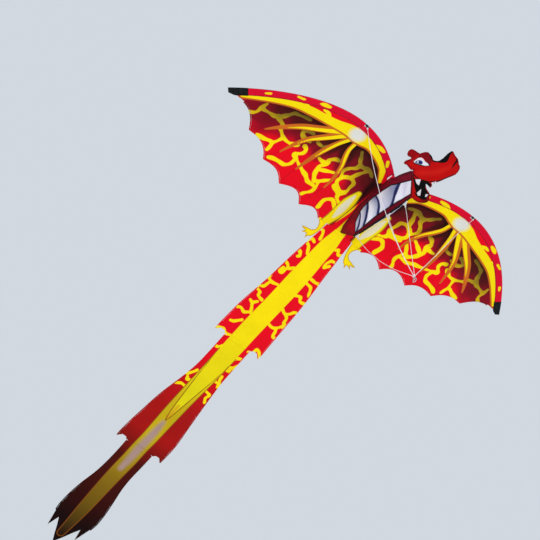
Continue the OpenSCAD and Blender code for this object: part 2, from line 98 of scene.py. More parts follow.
class KiteColours(bpy.types.PropertyGroup):
    """Printing inks and fittings, as sRGB hex values."""
    red: hex_colour("Red", "#e6061c", "Ground of the wings and the tail's sides")
    sleeve_red: hex_colour("Sleeve red", "#d8092c", "Spar sleeve")
    shade: hex_colour("Shade", "#46100f", "Dark ink under the wing bones")
    yellow: hex_colour("Yellow", "#f8dc05", "Veins, bones and the tail's core")
    orange: hex_colour("Orange", "#c8651c", "Lower edges of the bones")
    cream: hex_colour("Cream", "#e8e0bc", "Thighs")
    glow: hex_colour("Glow", "#e2e0d6", "Wrist spots")
    maroon: hex_colour("Maroon", "#7a0a22", "Flanks of the body")
    belly: hex_colour("Belly", "#eeeefa", "Belly panels")
    belly_shadow: hex_colour("Belly shadow", "#5f6c9c", "Shaded side of the belly's ribs")
    rib: hex_colour("Rib", "#232c5c", "Rib lines")
    head_red: hex_colour("Head red", "#d00a0a", "Head")
    head_dark: hex_colour("Head dark red", "#7d0614", "Crest, brow and edges of the head")
    eye: hex_colour("Eye", "#26398c", "Iris")
    black: hex_colour("Black", "#0b0b0d", "Pockets, binding, mouth and fittings")
    tail_dark: hex_colour("Tail dark red", "#4a0f07", "Rear of the tail")
    line: hex_colour("Line", "#f2f0ee", "Bridle line")


def sizes():
    return bpy.context.scene.kite_sizes


def linear(text):
    """An sRGB hex value as linear RGBA."""
    parts = [int(text[i:i + 2], 16) / 255 for i in (1, 3, 5)]
    return [c / 12.92 if c <= 0.04045 else ((c + 0.055) / 1.055) ** 2.4 for c in parts] + [1.0]


def ink(name):
    return linear(getattr(bpy.context.scene.kite_colours, name))


# ---------------------------------------------------------------- curves and distances

def bezier(points, t):
    """Point of a Bezier curve of any degree at t from 0 to 1."""
    level = [Vector(p) for p in points]
    while len(level) > 1:
        level = [a.lerp(b, t) for a, b in zip(level, level[1:])]
    return level[0]


def lookup(value, table):
    """Straight-line lookup in a table of (key, value) pairs."""
    keys, values = zip(*table)
    return float(np.interp(value, keys, values))


def spread(start, end, count):
    """count evenly spaced numbers from start to end."""
    return [start + (end - start) * k / (count - 1) for k in range(count)]


def smooth_step(x):
    x = np.clip(x, 0.0, 1.0)
    return x * x * (3 - 2 * x)


def rounded(path, parts=5):
    """A path through its points with rounded corners; extra columns, such as widths, go along."""
    p = np.array(path, dtype=float)
    if len(p) < 3:
        return p
    ends = np.vstack([2 * p[0] - p[1], p, 2 * p[-1] - p[-2]])
    out = []
    for a, b, c, d in zip(ends, ends[1:], ends[2:], ends[3:]):
        for t in np.arange(parts) / parts:
            out.append(0.5 * ((2 * b) + (c - a) * t + (2 * a - 5 * b + 4 * c - d) * t * t
                              + (3 * b - a - 3 * c + d) * t ** 3))
    return np.vstack([out, p[-1]])


def stroke_gap(spots, path, width=None):
    """Distance from each spot to a stroke's edge, less than 0 inside it, in the path's unit."""
    line = rounded(path)
    half = line[:, 2] if line.shape[1] > 2 else np.full(len(line), width / 2)
    best = np.full(len(spots), 1e3)
    for a, b, wa, wb in zip(line[:-1, :2], line[1:, :2], half, half[1:]):
        way = b - a
        t = np.clip(((spots - a) @ way) / max(way @ way, 1e-9), 0, 1)
        best = np.minimum(best, np.linalg.norm(spots - a - t[:, None] * way, axis=1) - (wa + (wb - wa) * t))
    return best


def strokes_gap(spots, paths, width=None):
    return np.min([stroke_gap(spots, p, width) for p in paths], axis=0)


def patch_gap(spots, corners):
    """Signed distance from each spot to a closed outline, less than 0 inside it."""
    p = np.array(corners, dtype=float)
    inside = np.zeros(len(spots), dtype=bool)
    for a, b in zip(p, np.roll(p, -1, axis=0)):
        crosses = (a[1] > spots[:, 1]) != (b[1] > spots[:, 1])
        with np.errstate(divide="ignore", invalid="ignore"):
            at = a[0] + (spots[:, 1] - a[1]) * (b[0] - a[0]) / (b[1] - a[1])
        inside ^= crosses & (spots[:, 0] < at)
    edge = np.full(len(spots), 1e3)
    for a, b in zip(p, np.roll(p, -1, axis=0)):
        way = b - a
        t = np.clip(((spots - a) @ way) / max(way @ way, 1e-9), 0, 1)
        edge = np.minimum(edge, np.linalg.norm(spots - a - t[:, None] * way, axis=1))
    return np.where(inside, -edge, edge)


# ---------------------------------------------------------------- meshes

def cut_sheet(outline, step):
    """A flat sheet with that outline in mm, cut into a grid of small cells."""
    bm = bmesh.new()
    bm.faces.new([bm.verts.new((u, v, 0)) for u, v in outline])
    for axis in (0, 1):
        low = min(p[axis] for p in outline)
        high = max(p[axis] for p in outline)
        for k in range(1, int((high - low) / step) + 1):
            at, way = [0.0, 0.0, 0.0], [0.0, 0.0, 0.0]
            at[axis] = low + k * step + 0.013
            way[axis] = 1.0
            bmesh.ops.bisect_plane(bm, geom=bm.verts[:] + bm.edges[:] + bm.faces[:], dist=1e-4,
                                   plane_co=at, plane_no=way)
    bmesh.ops.triangulate(bm, faces=[f for f in bm.faces if len(f.verts) > 4])
    return bm


def loft(sections, closed=True, capped=True):
    """Draws one section out through all the others. Returns the bmesh, each vertex's run and girth in metres,
    and its place in the list of all the sections' points."""
    bm = bmesh.new()
    row = [bm.verts.new(p) for p in sections[0]]
    rows = [row]
    edges = [bm.edges.new(pair) for pair in zip(row, row[1:] + (row[:1] if closed else []))]
    for section in sections[1:]:
        made = bmesh.ops.extrude_edge_only(bm, edges=edges)["geom"]
        fresh = {g for g in made if isinstance(g, bmesh.types.BMVert)}
        edges = [g for g in made if isinstance(g, bmesh.types.BMEdge) and fresh.issuperset(g.verts)]
        row = [next(e.other_vert(v) for e in v.link_edges if e.other_vert(v) in fresh) for v in row]
        for v, p in zip(row, section):
            v.co = p
        rows.append(row)
    if capped:
        for end in (rows[0], rows[-1]):
            bmesh.ops.contextual_create(bm, geom=end)
    bmesh.ops.recalc_face_normals(bm, faces=bm.faces)
    bm.verts.index_update()
    uv = np.zeros((len(bm.verts), 2))
    order = np.zeros(len(bm.verts), dtype=int)
    run = 0.0
    for i, row in enumerate(rows):
        run += (row[0].co - rows[max(i - 1, 0)][0].co).length
        girth = 0.0
        for j, v in enumerate(row):
            girth += (v.co - row[max(j - 1, 0)].co).length
            uv[v.index] = (run, girth)
            order[v.index] = i * len(row) + j
    return bm, uv, order


def tube(path, radius, sides=10):
    """A round tube along points in metres; radius is a number or a function of the point's number."""
    points = [Vector(p) for p in path]
    sections = []
    for i, p in enumerate(points):
        way = (points[min(i + 1, len(points) - 1)] - points[max(i - 1, 0)]).normalized()
        side = Vector((0, 1, 0)).cross(way)
        side = side.normalized() if side.length > 1e-3 else Vector((1, 0, 0))
        up = way.cross(side)
        r = radius(i) if callable(radius) else radius
        turns = [math.tau * k / sides for k in range(sides)]
        sections.append([p + r * (math.cos(a) * side + math.sin(a) * up) for a in turns])
    return loft(sections)


def finish_piece(name, bm, body, material, nodes=(), marks=None, thickness=None, smooth=True, uv=None):
    """Makes an object of bm, in metres, hangs it on its body and hides the CAD nodes that it replaces."""
    mesh = bpy.data.meshes.new(name)
    bm.to_mesh(mesh)
    bm.free()
    for key, values in (marks or {}).items():
        data = mesh.attributes.new(key, "FLOAT", "POINT").data
        data.foreach_set("value", np.asarray(values, dtype=np.float32))
    if uv is not None:
        corners = np.empty(len(mesh.loops), dtype=np.int64)
        mesh.loops.foreach_get("vertex_index", corners)
        cloth = np.asarray(uv, dtype=np.float32)[corners]
        mesh.uv_layers.new(name="cloth").data.foreach_set("uv", cloth.ravel())
    mesh.polygons.foreach_set("use_smooth", np.full(len(mesh.polygons), smooth))
    mesh.materials.append(material)
    piece = bpy.data.objects.new(name, mesh)
    bpy.context.collection.objects.link(piece)
    if thickness:
        wall = piece.modifiers.new("Cloth thickness", "SOLIDIFY")
        wall.thickness = thickness
        wall.offset = 0
    if body:
        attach(piece, body)
    if nodes:
        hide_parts(*nodes)
    return piece


def cloth_piece(name, outline, place, paint, body, material, nodes=(), step=None):
    """A printed sheet: cut flat in mm, painted flat, then laid out by place in row metres."""
    bm = cut_sheet(outline, step or sizes().cloth_step)
    spots = np.array([v.co[:2] for v in bm.verts])
    marks = paint(spots)
    for v, p in zip(bm.verts, place(spots)):
        v.co = p
    bm.normal_update()
    area = sum(f.calc_area() for f in bm.faces)
    piece = finish_piece(name, bm, body, material, nodes, marks, sizes().cloth_thickness, uv=spots * MM)
    return piece


def row(points):
    """Points in mm from the datum as points in row metres."""
    return np.asarray(points) * MM + np.array(DATUM)


# ---------------------------------------------------------------- materials

def add(tree, kind, links=None, **settings):
    """Adds one node with its settings; links maps an input to a value or to another node's output."""
    node = tree.nodes.new("ShaderNode" + kind)
    for key, value in settings.items():
        setattr(node, key, value)
    for key, source in (links or {}).items():
        if isinstance(source, bpy.types.NodeSocket):
            tree.links.new(source, node.inputs[key])
        else:
            node.inputs[key].default_value = source
    return node


def new_material(name, metallic=0.0, roughness=0.5):
    material = bpy.data.materials.new(name)
    material.use_nodes = True
    shader = material.node_tree.nodes["Principled BSDF"]
    shader.inputs["Metallic"].default_value = metallic
    shader.inputs["Roughness"].default_value = roughness
    return material, material.node_tree, shader


def mark(tree, name):
    return add(tree, "Attribute", attribute_name=name).outputs["Fac"]


def fade(tree, value, start, end, low=0.0, high=1.0):
    """low to high as value goes from start to end."""
    return add(tree, "MapRange", {"Value": value, "From Min": start, "From Max": end,
                                  "To Min": low, "To Max": high}).outputs[0]


def inside(tree, name, edge=0.6):
    """1 inside a printed shape, 0 outside, with a printer's slightly soft edge in mm."""
    return fade(tree, mark(tree, name), edge, -edge)


def maths(tree, operation, a, b=0.0):
    return add(tree, "Math", {0: a, 1: b}, operation=operation).outputs[0]


def layer(tree, below, colour, mask):
    """One printed colour over what is below it, where mask is 1."""
    return add(tree, "Mix", {0: mask, 6: below, 7: colour}, data_type="RGBA").outputs[2]


def noise_at(tree, coords, scale, detail=2.0):
    return add(tree, "TexNoise", {"Vector": coords, "Scale": scale, "Detail": detail}).outputs["Fac"]


def sailcloth(tree, shader, colour):
    """Ripstop polyester: thin and slightly shiny, with a net of thicker threads and soft creases."""
    flat = add(tree, "UVMap", uv_map="cloth").outputs[0]
    threads = []
    for axis in ("X", "Y"):
        wave = add(tree, "TexWave", {"Vector": flat, "Scale": math.tau / 20 / sizes().ripstop_cell},
                   wave_type="BANDS", bands_direction=axis, wave_profile="SIN")
        threads.append(fade(tree, wave.outputs["Fac"], 0.9, 1.0))
    net = maths(tree, "MAXIMUM", *threads)
    ink_spread = noise_at(tree, flat, 9.0, 3.0)
    printed = add(tree, "HueSaturation", {"Color": colour, "Value": fade(tree, ink_spread, 0.3, 0.7, 0.93, 1.05)})
    netted = layer(tree, printed.outputs[0], [0.03, 0.008, 0.008, 1], maths(tree, "MULTIPLY", net, 0.16))
    tree.links.new(netted, shader.inputs["Base Color"])
    tree.links.new(fade(tree, ink_spread, 0.3, 0.7, 0.48, 0.62), shader.inputs["Roughness"])
    weft = noise_at(tree, flat, 900.0, 1.0)
    creases = noise_at(tree, flat, 20.0, 2.0)
    height = maths(tree, "ADD", maths(tree, "MULTIPLY", net, 0.25), maths(tree, "MULTIPLY", weft, 0.12))
    height = maths(tree, "ADD", height, maths(tree, "MULTIPLY", creases, 1.5))
    bump = add(tree, "Bump", {"Height": height, "Strength": 0.35, "Distance": 0.0012})
    tree.links.new(bump.outputs[0], shader.inputs["Normal"])
    shader.inputs["Sheen Weight"].default_value = 0.02
    shader.inputs["Specular IOR Level"].default_value = 0.04


def printed_wing_cloth():
    """Dye-printed ripstop: flat saturated inks with a little thread showing through."""
    material, tree, shader = new_material("printed ripstop polyester, wings")
    shade = mark(tree, "shade")
    colour = layer(tree, ink("red"), linear("#8c0a1e"), fade(tree, shade, 0.08, 0.42))
    colour = layer(tree, colour, ink("shade"), fade(tree, shade, 0.4, 0.95, 0.0, 0.97))
    vein = layer(tree, ink("yellow"), linear("#c9a50c"), fade(tree, shade, 0.2, 0.5))
    vein = layer(tree, vein, linear("#75601a"), fade(tree, shade, 0.5, 0.92, 0.0, 0.95))
    colour = layer(tree, colour, linear("#a80f14"), fade(tree, mark(tree, "cusp"), 1.0, -1.0, 0.0, 0.55))
    colour = layer(tree, colour, vein, inside(tree, "vein", 0.9))
    colour = layer(tree, colour, linear("#140504"), fade(tree, mark(tree, "crease"), 0.0, 1.0, 0.0, 0.95))
    colour = layer(tree, colour, linear("#24080a"), fade(tree, mark(tree, "dark"), 9.0, -6.0))
    colour = layer(tree, colour, ink("orange"), inside(tree, "finger"))
    colour = layer(tree, colour, ink("yellow"), inside(tree, "lit", 1.2))
    colour = layer(tree, colour, ink("orange"), inside(tree, "under", 1.5))
    colour = layer(tree, colour, ink("yellow"), inside(tree, "arm", 1.2))
    colour = layer(tree, colour, ink("glow"), fade(tree, mark(tree, "glow"), 38.0, 20.0))
    thigh = layer(tree, ink("yellow"), linear("#7d7418"), fade(tree, mark(tree, "thigh"), -5.0, -1.0, 0.0, 0.85))
    colour = layer(tree, colour, thigh, inside(tree, "thigh", 1.5))
    colour = layer(tree, colour, ink("cream"), fade(tree, mark(tree, "cream"), 3.0, -3.0))
    sailcloth(tree, shader, colour)
    return material


def printed_sleeve_cloth():
    """The same ripstop folded round the spar, red with a few yellow flecks and painted shade along its folds."""
    material, tree, shader = new_material("printed ripstop polyester, sleeve")
    colour = layer(tree, ink("sleeve_red"), ink("yellow"), inside(tree, "fleck", 1.0))
    # Painted shade: darker red where the sleeve's cloth folds, at its front edge and its flat seam.
    colour = layer(tree, colour, linear("#8f0a1c"), fade(tree, mark(tree, "fold"), 0.2, 1.0, 0.0, 0.7))
    sailcloth(tree, shader, colour)
    return material


def printed_tail_cloth():
    """Dye-printed ripstop whose red darkens towards the tail's rear end."""
    material, tree, shader = new_material("printed ripstop polyester, tail")
    along = mark(tree, "along")
    colour = layer(tree, ink("red"), linear("#a3120f"), fade(tree, along, 600.0, 900.0))
    colour = layer(tree, colour, ink("tail_dark"), fade(tree, along, 1020.0, 1150.0))
    colour = layer(tree, colour, linear("#160403"), fade(tree, along, 1180.0, 1480.0))
    colour = layer(tree, colour, ink("yellow"), inside(tree, "vein", 0.9))
    core = layer(tree, ink("yellow"), linear("#c4a812"), fade(tree, along, 640.0, 860.0))
    core = layer(tree, core, linear("#8a6a12"), fade(tree, along, 1000.0, 1250.0))
    core = layer(tree, core, linear("#a98a80"), fade(tree, mark(tree, "glow"), 8.0, -8.0))
    core = layer(tree, core, linear("#2a1507"), fade(tree, along, 1250.0, 1540.0))
    colour = layer(tree, colour, linear("#8a4a12"), inside(tree, "rim", 1.2))
    colour = layer(tree, colour, core, inside(tree, "core", 1.5))
    colour = layer(tree, colour, linear("#6e3208"), inside(tree, "outline", 1.2))
    bright = layer(tree, ink("yellow"), linear("#e0d010"), fade(tree, along, 400.0, 800.0))
    colour = layer(tree, colour, bright, inside(tree, "arrow", 1.2))
    colour = layer(tree, colour, linear("#c8641c"), fade(tree, mark(tree, "tip"), 8.0, -8.0, 0.0, 0.8))
    sailcloth(tree, shader, colour)
    return material


def printed_flank_cloth():
    """Maroon ripstop with painted shade along its folds and a black outline at its seams."""
    material, tree, shader = new_material("printed ripstop polyester, flanks")
    colour = layer(tree, ink("maroon"), linear("#2c0710"), fade(tree, mark(tree, "top"), 0.0, 1.0, 0.0, 0.8))
    colour = layer(tree, colour, linear("#b00a1c"), fade(tree, mark(tree, "rear"), 0.0, 1.0, 0.0, 0.85))
    # Painted shade: dark strokes where the flank's cloth folds.
    colour = layer(tree, colour, linear("#3a0714"), fade(tree, mark(tree, "folds"), 2.5, -3.0, 0.0, 0.6))
    colour = layer(tree, colour, ink("black"), fade(tree, mark(tree, "seam"), 5.0, 2.0))
    sailcloth(tree, shader, colour)
    return material


def printed_belly_cloth():
    """White ripstop with printed ribs: blue-grey shading that ends in a dark blue line."""
    material, tree, shader = new_material("printed ripstop polyester, belly")
    colour = layer(tree, ink("belly"), ink("belly_shadow"), fade(tree, mark(tree, "shadow"), 0.0, 1.0, 0.0, 0.95))
    colour = layer(tree, colour, linear("#c9c4e2"), fade(tree, mark(tree, "lilac"), 6.0, -6.0, 0.0, 0.6))
    colour = layer(tree, colour, ink("rib"), fade(tree, mark(tree, "rib"), 2.2, -1.4))
    colour = layer(tree, colour, linear("#6a0a1e"), fade(tree, mark(tree, "band"), 0.5, -0.5))
    colour = layer(tree, colour, ink("black"), fade(tree, mark(tree, "seam"), 3.6, 1.2))
    sailcloth(tree, shader, colour)
    return material


def printed_head_cloth():
    """Doubled ripstop printed with the face on both sides."""
    material, tree, shader = new_material("printed ripstop polyester, head")
    colour = layer(tree, ink("head_red"), ink("head_dark"), fade(tree, mark(tree, "crest"), 6.0, -6.0, 0.0, 0.6))
    colour = layer(tree, colour, ink("head_dark"), fade(tree, mark(tree, "rim"), -9.0, -1.0, 0.0, 0.85))
    colour = layer(tree, colour, linear("#f0281c"), fade(tree, mark(tree, "light"), 8.0, -10.0, 0.0, 0.45))
    colour = layer(tree, colour, linear("#5e0a10"), fade(tree, mark(tree, "jowl"), 8.0, -8.0, 0.0, 0.8))
    colour = layer(tree, colour, ink("black"), fade(tree, mark(tree, "line"), 1.0, -0.8))
    colour = layer(tree, colour, linear("#8a0d16"), inside(tree, "brow", 1.2))
    colour = layer(tree, colour, ink("black"), inside(tree, "ink"))
    colour = layer(tree, colour, linear("#f6f6fa"), inside(tree, "white"))
    colour = layer(tree, colour, ink("eye"), inside(tree, "iris"))
    colour = layer(tree, colour, linear("#131a44"), inside(tree, "pupil", 1.5))
    colour = layer(tree, colour, linear("#f6f6fa"), inside(tree, "glint", 1.0))
    sailcloth(tree, shader, colour)
    shader.inputs["Specular IOR Level"].default_value = 0.0
    return material


def printed_claw_cloth():
    """Yellow ripstop, orange-brown along its lower edges."""
    material, tree, shader = new_material("printed ripstop polyester, claws")
    colour = layer(tree, ink("yellow"), linear("#b8761a"), fade(tree, mark(tree, "rim"), -4.5, -1.5, 0.0, 0.75))
    sailcloth(tree, shader, colour)
    return material


def plain_cloth(name, colour, coarse=700.0, roughness=0.62):
    """Woven tape or reinforcement cloth of one colour, with a coarser weave than the sail's."""
    material, tree, shader = new_material(name, roughness=roughness)
    place = add(tree, "TexCoord").outputs["Object"]
    worn = noise_at(tree, place, 60.0, 3.0)
    tree.links.new(layer(tree, colour, [min(1.0, c * 1.5 + 0.015) for c in colour[:3]] + [1.0],
                         fade(tree, worn, 0.45, 0.75, 0.0, 0.5)), shader.inputs["Base Color"])
    ribs = add(tree, "TexWave", {"Vector": place, "Scale": coarse / 20, "Distortion": 0.4},
               wave_type="BANDS", bands_direction="DIAGONAL").outputs["Fac"]
    height = maths(tree, "ADD", ribs, noise_at(tree, place, 1500.0))
    bump = add(tree, "Bump", {"Height": height, "Strength": 0.5, "Distance": 0.0003})
    tree.links.new(bump.outputs[0], shader.inputs["Normal"])
    shader.inputs["Sheen Weight"].default_value = 0.03
    shader.inputs["Specular IOR Level"].default_value = 0.1
    return material


def braided_line():
    """Braided polyester line: pale, matt, with a fine slanting braid and painted shade in its grooves."""
    material, tree, shader = new_material("braided polyester line", roughness=0.6)
    flat = add(tree, "UVMap", uv_map="cloth").outputs[0]
    braid = add(tree, "TexWave", {"Vector": flat, "Scale": math.tau / 20 / 0.0016, "Distortion": 1.5},
                wave_type="BANDS", bands_direction="DIAGONAL").outputs["Fac"]
    # Painted shade: the braid's grooves, where the wave that makes the bump is low, are coloured darker.
    tree.links.new(layer(tree, ink("line"), linear("#bdb4b4"), fade(tree, braid, 0.5, 0.0, 0.0, 0.7)),
                   shader.inputs["Base Color"])
    bump = add(tree, "Bump", {"Height": braid, "Strength": 0.6, "Distance": 0.0003})
    tree.links.new(bump.outputs[0], shader.inputs["Normal"])
    return material


def pultruded_carbon():
    """Pultruded carbon rod: near black and satin, with fine streaks along its fibres."""
    material, tree, shader = new_material("pultruded carbon rod", roughness=0.34)
    place = add(tree, "TexCoord").outputs["Object"]
    turned = add(tree, "Mapping", {"Vector": place, "Scale": (120.0, 120.0, 900.0)}).outputs[0]
    streaks = noise_at(tree, turned, 1.0, 4.0)
    tree.links.new(layer(tree, linear("#17181a"), linear("#3b3d41"), fade(tree, streaks, 0.4, 0.75)),
                   shader.inputs["Base Color"])
    tree.links.new(fade(tree, streaks, 0.3, 0.7, 0.26, 0.44), shader.inputs["Roughness"])
    shader.inputs["Coat Weight"].default_value = 0.2
    return material


def moulded_nylon():
    """Injection-moulded black nylon: fine spark-eroded grain, rubbed a little grey in patches."""
    material, tree, shader = new_material("moulded black nylon", roughness=0.48)
    place = add(tree, "TexCoord").outputs["Object"]
    grain = noise_at(tree, place, 1400.0, 2.0)
    rubbed = noise_at(tree, place, 90.0, 3.0)
    tree.links.new(layer(tree, linear("#101012"), linear("#2b2b2f"), fade(tree, rubbed, 0.5, 0.75)),
                   shader.inputs["Base Color"])
    tree.links.new(fade(tree, rubbed, 0.3, 0.7, 0.4, 0.58), shader.inputs["Roughness"])
    bump = add(tree, "Bump", {"Height": grain, "Strength": 0.4, "Distance": 0.0002})
    tree.links.new(bump.outputs[0], shader.inputs["Normal"])
    return material


def turned_steel():
    """Polished stainless steel with faint turning rings and finger marks."""
    material, tree, shader = new_material("polished stainless steel", metallic=1.0, roughness=0.22)
    place = add(tree, "TexCoord").outputs["Object"]
    rings = add(tree, "TexWave", {"Vector": place, "Scale": 110.0, "Distortion": 0.5},
                wave_type="RINGS", rings_direction="X").outputs["Fac"]
    smears = noise_at(tree, place, 130.0, 3.0)
    tree.links.new(layer(tree, linear("#c9cacb"), linear("#8f9193"), fade(tree, smears, 0.5, 0.8)),
                   shader.inputs["Base Color"])
    tree.links.new(fade(tree, smears, 0.3, 0.7, 0.16, 0.34), shader.inputs["Roughness"])
    bump = add(tree, "Bump", {"Height": rings, "Strength": 0.15, "Distance": 0.0002})
    tree.links.new(bump.outputs[0], shader.inputs["Normal"])
    return material


FINISHES = {}


def finish(name):
    """A material by its maker's name, made once."""
    makers = {"wing": printed_wing_cloth, "sleeve": printed_sleeve_cloth, "tail": printed_tail_cloth,
              "flank": printed_flank_cloth, "belly": printed_belly_cloth, "head": printed_head_cloth,
              "claw": printed_claw_cloth, "line": braided_line, "carbon": pultruded_carbon,
              "nylon": moulded_nylon, "steel": turned_steel,
              "pocket": lambda: plain_cloth("black webbing pocket", ink("black")),
              "binding": lambda: plain_cloth("black grosgrain binding", ink("black"), 900.0),
              "tab": lambda: plain_cloth("white webbing tab", linear("#e9e9ec"), 900.0),
              "red tape": lambda: plain_cloth("red ripstop tape", ink("sleeve_red")),
              "thread": lambda: plain_cloth("bonded nylon thread", linear("#c8404c"), 2500.0)}
    if name not in FINISHES:
        FINISHES[name] = makers[name]()
    return FINISHES[name]


# ---------------------------------------------------------------- wing shape, right side, mm

CREST_S = 0.368        # share of the span where the leading edge is furthest forward
FRONT_IN = [(49.6, 307), (120, 356), (200, 390), (290, 390)]
FRONT_OUT = [(290, 390), (430, 390), (578, 288), (TIP_X, 155)]
# The x values of four cusps are those that the script that fitted the camera printed.
CUSPS = [(49.6, 0), (107, 0), (207, 2), (323, 20), (430, 52), (541, 97)]
HOLLOWS = [(78, 0), (155, 48), (255, 69), (365, 72), (470, 112), (588, 176)]
FOLD = 2.4             # clear gap where the cloth folds
SPAR_AT = 4.0          # distance of the spar's axis behind the leading edge
CLIP_S, WINDOW_S = 0.345, 0.0135
POCKET_S, SAIL_TIP_S = 0.925, 0.972
CUFF_S = (-0.021, -0.0065)      # the red cuff at the sleeve's root, in shares of the span
HEM_SKIPS = slice(2, -12)       # the rear hem stops short of the body and of the pocket


def lead(s):
    part, points = (s / CREST_S, FRONT_IN) if s < CREST_S else ((s - CREST_S) / (1 - CREST_S), FRONT_OUT)
    return bezier(points, part)


def inward(s):
    """The way into the sail from the leading edge, sheared near the root to end square to the fold."""
    way = (lead(min(1, s + 0.004)) - lead(max(min(s, 0), s - 0.004))).normalized()
    shear = -way.y / way.x * min(1, max(0, 1 - s / 0.06))
    return Vector((way.y, -way.x)) + shear * way


def bow(x):
    return -sizes().wing_bow * np.sin(np.pi * np.clip((x - ROOT_X) / (TIP_X - ROOT_X), 0, 1))


def wing_point(s, back, up):
    """Row place, in metres, of a point that far behind the leading edge and above the sail, in mm."""
    p = lead(s) + back * inward(s)
    return Vector(row((p.x, p.y, float(bow(p.x)) + up)))


def wing_outline():
    width = sizes().sleeve_width - 1
    front = [lead(s) + width * inward(s) for s in spread(0, SAIL_TIP_S - 0.005, 40)]
    return [(float(p[0]), float(p[1])) for p in front] + trailing_edge()


def trailing_edge(parts=12):
    """The scalloped rear edge from the tip to the root, in flat mm."""
    ends = CUSPS + [tuple(lead(SAIL_TIP_S) + (sizes().sleeve_width + 1) * inward(SAIL_TIP_S))]
    line = [bezier([a, m, b], t) for a, m, b in zip(ends, HOLLOWS, ends[1:]) for t in spread(0, 1 - 1 / parts, parts)]
    return [(float(p[0]), float(p[1])) for p in reversed(line)]


def wing_fold_place(spots, side):
    """The fold tape lies just under the panel and the wing."""
    drop = np.full(len(spots), 1.05)
    return row(np.column_stack([side * spots[:, 0], spots[:, 1], bow(spots[:, 0]) - drop]))


def wing_place(spots, side=1, drop=0.0):
    """Lays the flat wing out: bowed along the spar, filled between its edges, with a soft rear edge."""
    x, y = spots[:, 0], spots[:, 1]
    front = np.interp(x, [49.6, 120, 200, 290, 400, 500, 600, 700], [275, 325, 358, 364, 345, 292, 215, 137])
    depth = np.clip(1 - y / np.maximum(front, 1), 0, 1)
    span = np.clip((x - ROOT_X) / 60, 0, 1) * np.clip((TIP_X - x) / 120, 0, 1)
    fill = sizes().billow * np.sin(np.pi * np.clip(depth, 0, 1) ** 0.8) * span
    flutter = 2.2 * depth ** 3 * np.sin(x / 17.0) * span + 1.2 * np.sin(x / 31.0 + y / 23.0) * span * depth
    z = bow(x) + fill + flutter - drop
    return row(np.column_stack([side * x, y, z]))


ARM = [(60, 250, 5), (80, 278, 9), (102, 302, 12), (150, 325, 15), (200, 338, 17), (250, 335, 24), (300, 334, 23),
       (350, 321, 17), (400, 309, 15), (450, 297, 15), (500, 279, 13), (550, 249, 11), (600, 211, 9), (648, 170, 6)]
FINGERS = [
    [(248, 312, 8), (244, 275, 9), (230, 243, 10), (213, 213, 9), (201, 180, 8), (194, 145, 6), (192, 105, 3)],
    [(272, 312, 9), (290, 270, 10), (303, 225, 11), (312, 180, 9), (318, 130, 6), (321, 95, 3)],
    [(292, 314, 10), (322, 278, 12), (352, 242, 12), (375, 212, 10), (392, 175, 8), (403, 140, 5), (412, 108, 3)],
    [(308, 322, 11), (345, 292, 13), (385, 262, 13), (425, 232, 12), (460, 196, 9), (488, 162, 6), (508, 134, 3)]]
CUSP_LINES = [[(192, 120, 3), (197, 60, 2), (206, 6, 1)], [(320, 110, 3), (324, 60, 2), (324, 24, 1)],
              [(410, 120, 3), (422, 80, 2), (430, 56, 1)], [(505, 140, 3), (522, 118, 2), (538, 100, 1)]]
VEINS = [
    [(95, 245), (120, 260), (150, 254), (170, 260), (187, 280), (201, 298)],
    [(124, 258), (136, 232), (145, 212), (150, 192)],
    [(118, 160), (125, 185), (150, 192), (172, 180), (175, 155), (155, 135), (130, 130), (116, 144), (118, 160)],
    [(168, 258), (166, 238), (182, 222), (192, 204), (186, 186), (174, 172)],
    [(232, 222), (250, 216), (262, 200), (256, 184), (268, 158), (258, 128), (240, 106), (224, 114), (200, 140)],
    [(256, 182), (278, 180), (294, 182)], [(212, 170), (236, 160), (256, 150)],
    [(96, 64), (110, 78), (126, 85), (145, 72), (150, 50), (145, 30)],
    [(98, 90), (118, 100), (127, 116), (116, 136)], [(126, 116), (150, 125), (172, 134)],
    [(224, 112), (215, 90), (214, 66), (226, 44), (230, 34)],
    [(222, 88), (250, 86), (280, 102), (312, 110), (350, 128), (368, 136), (352, 156), (350, 175), (364, 182)],
    [(350, 128), (352, 100), (362, 84), (386, 78), (410, 75), (426, 66)],
    [(386, 170), (412, 155), (440, 155), (460, 165), (478, 176)],
    [(441, 154), (446, 130), (452, 112), (448, 82)], [(454, 116), (480, 108), (512, 100)],
    [(306, 234), (320, 222), (344, 225)], [(364, 208), (390, 203), (410, 215), (404, 232), (382, 238)],
    [(425, 270), (452, 262), (480, 250), (490, 230), (505, 208), (526, 192), (552, 186), (574, 180)],
    [(104, 306), (100, 322), (112, 334)], [(158, 334), (152, 350), (168, 358)], [(196, 340), (206, 358)],
    [(392, 318), (404, 330), (420, 330)], [(470, 294), (480, 308)],
    [(574, 182), (571, 196), (568, 210)], [(572, 180), (572, 158), (586, 143), (604, 137)],
    [(478, 190), (500, 195), (512, 205)]]
FLECKS = [[(92, 312, 5), (106, 330, 6)], [(150, 350, 6), (172, 352, 9), (192, 348, 5)],
          [(418, 352, 6), (436, 346, 8), (448, 340, 4)], [(498, 312, 5), (520, 304, 4)],
          [(590, 246, 5), (602, 234, 4)]]
THIGH = [(76, 164, 12), (75, 114, 25), (72, 58, 25), (74, 20, 21), (77, -4, 20)]
THIGH_LIGHT = [(78, 150, 4), (77, 116, 11), (73, 80, 14), (70, 52, 9), (69, 34, 4)]
DARK = [(51, 8, 2), (53, 60, 3), (57, 120, 5), (62, 170, 8), (68, 205, 9), (72, 240, 8)]
WRIST = (268, 338)


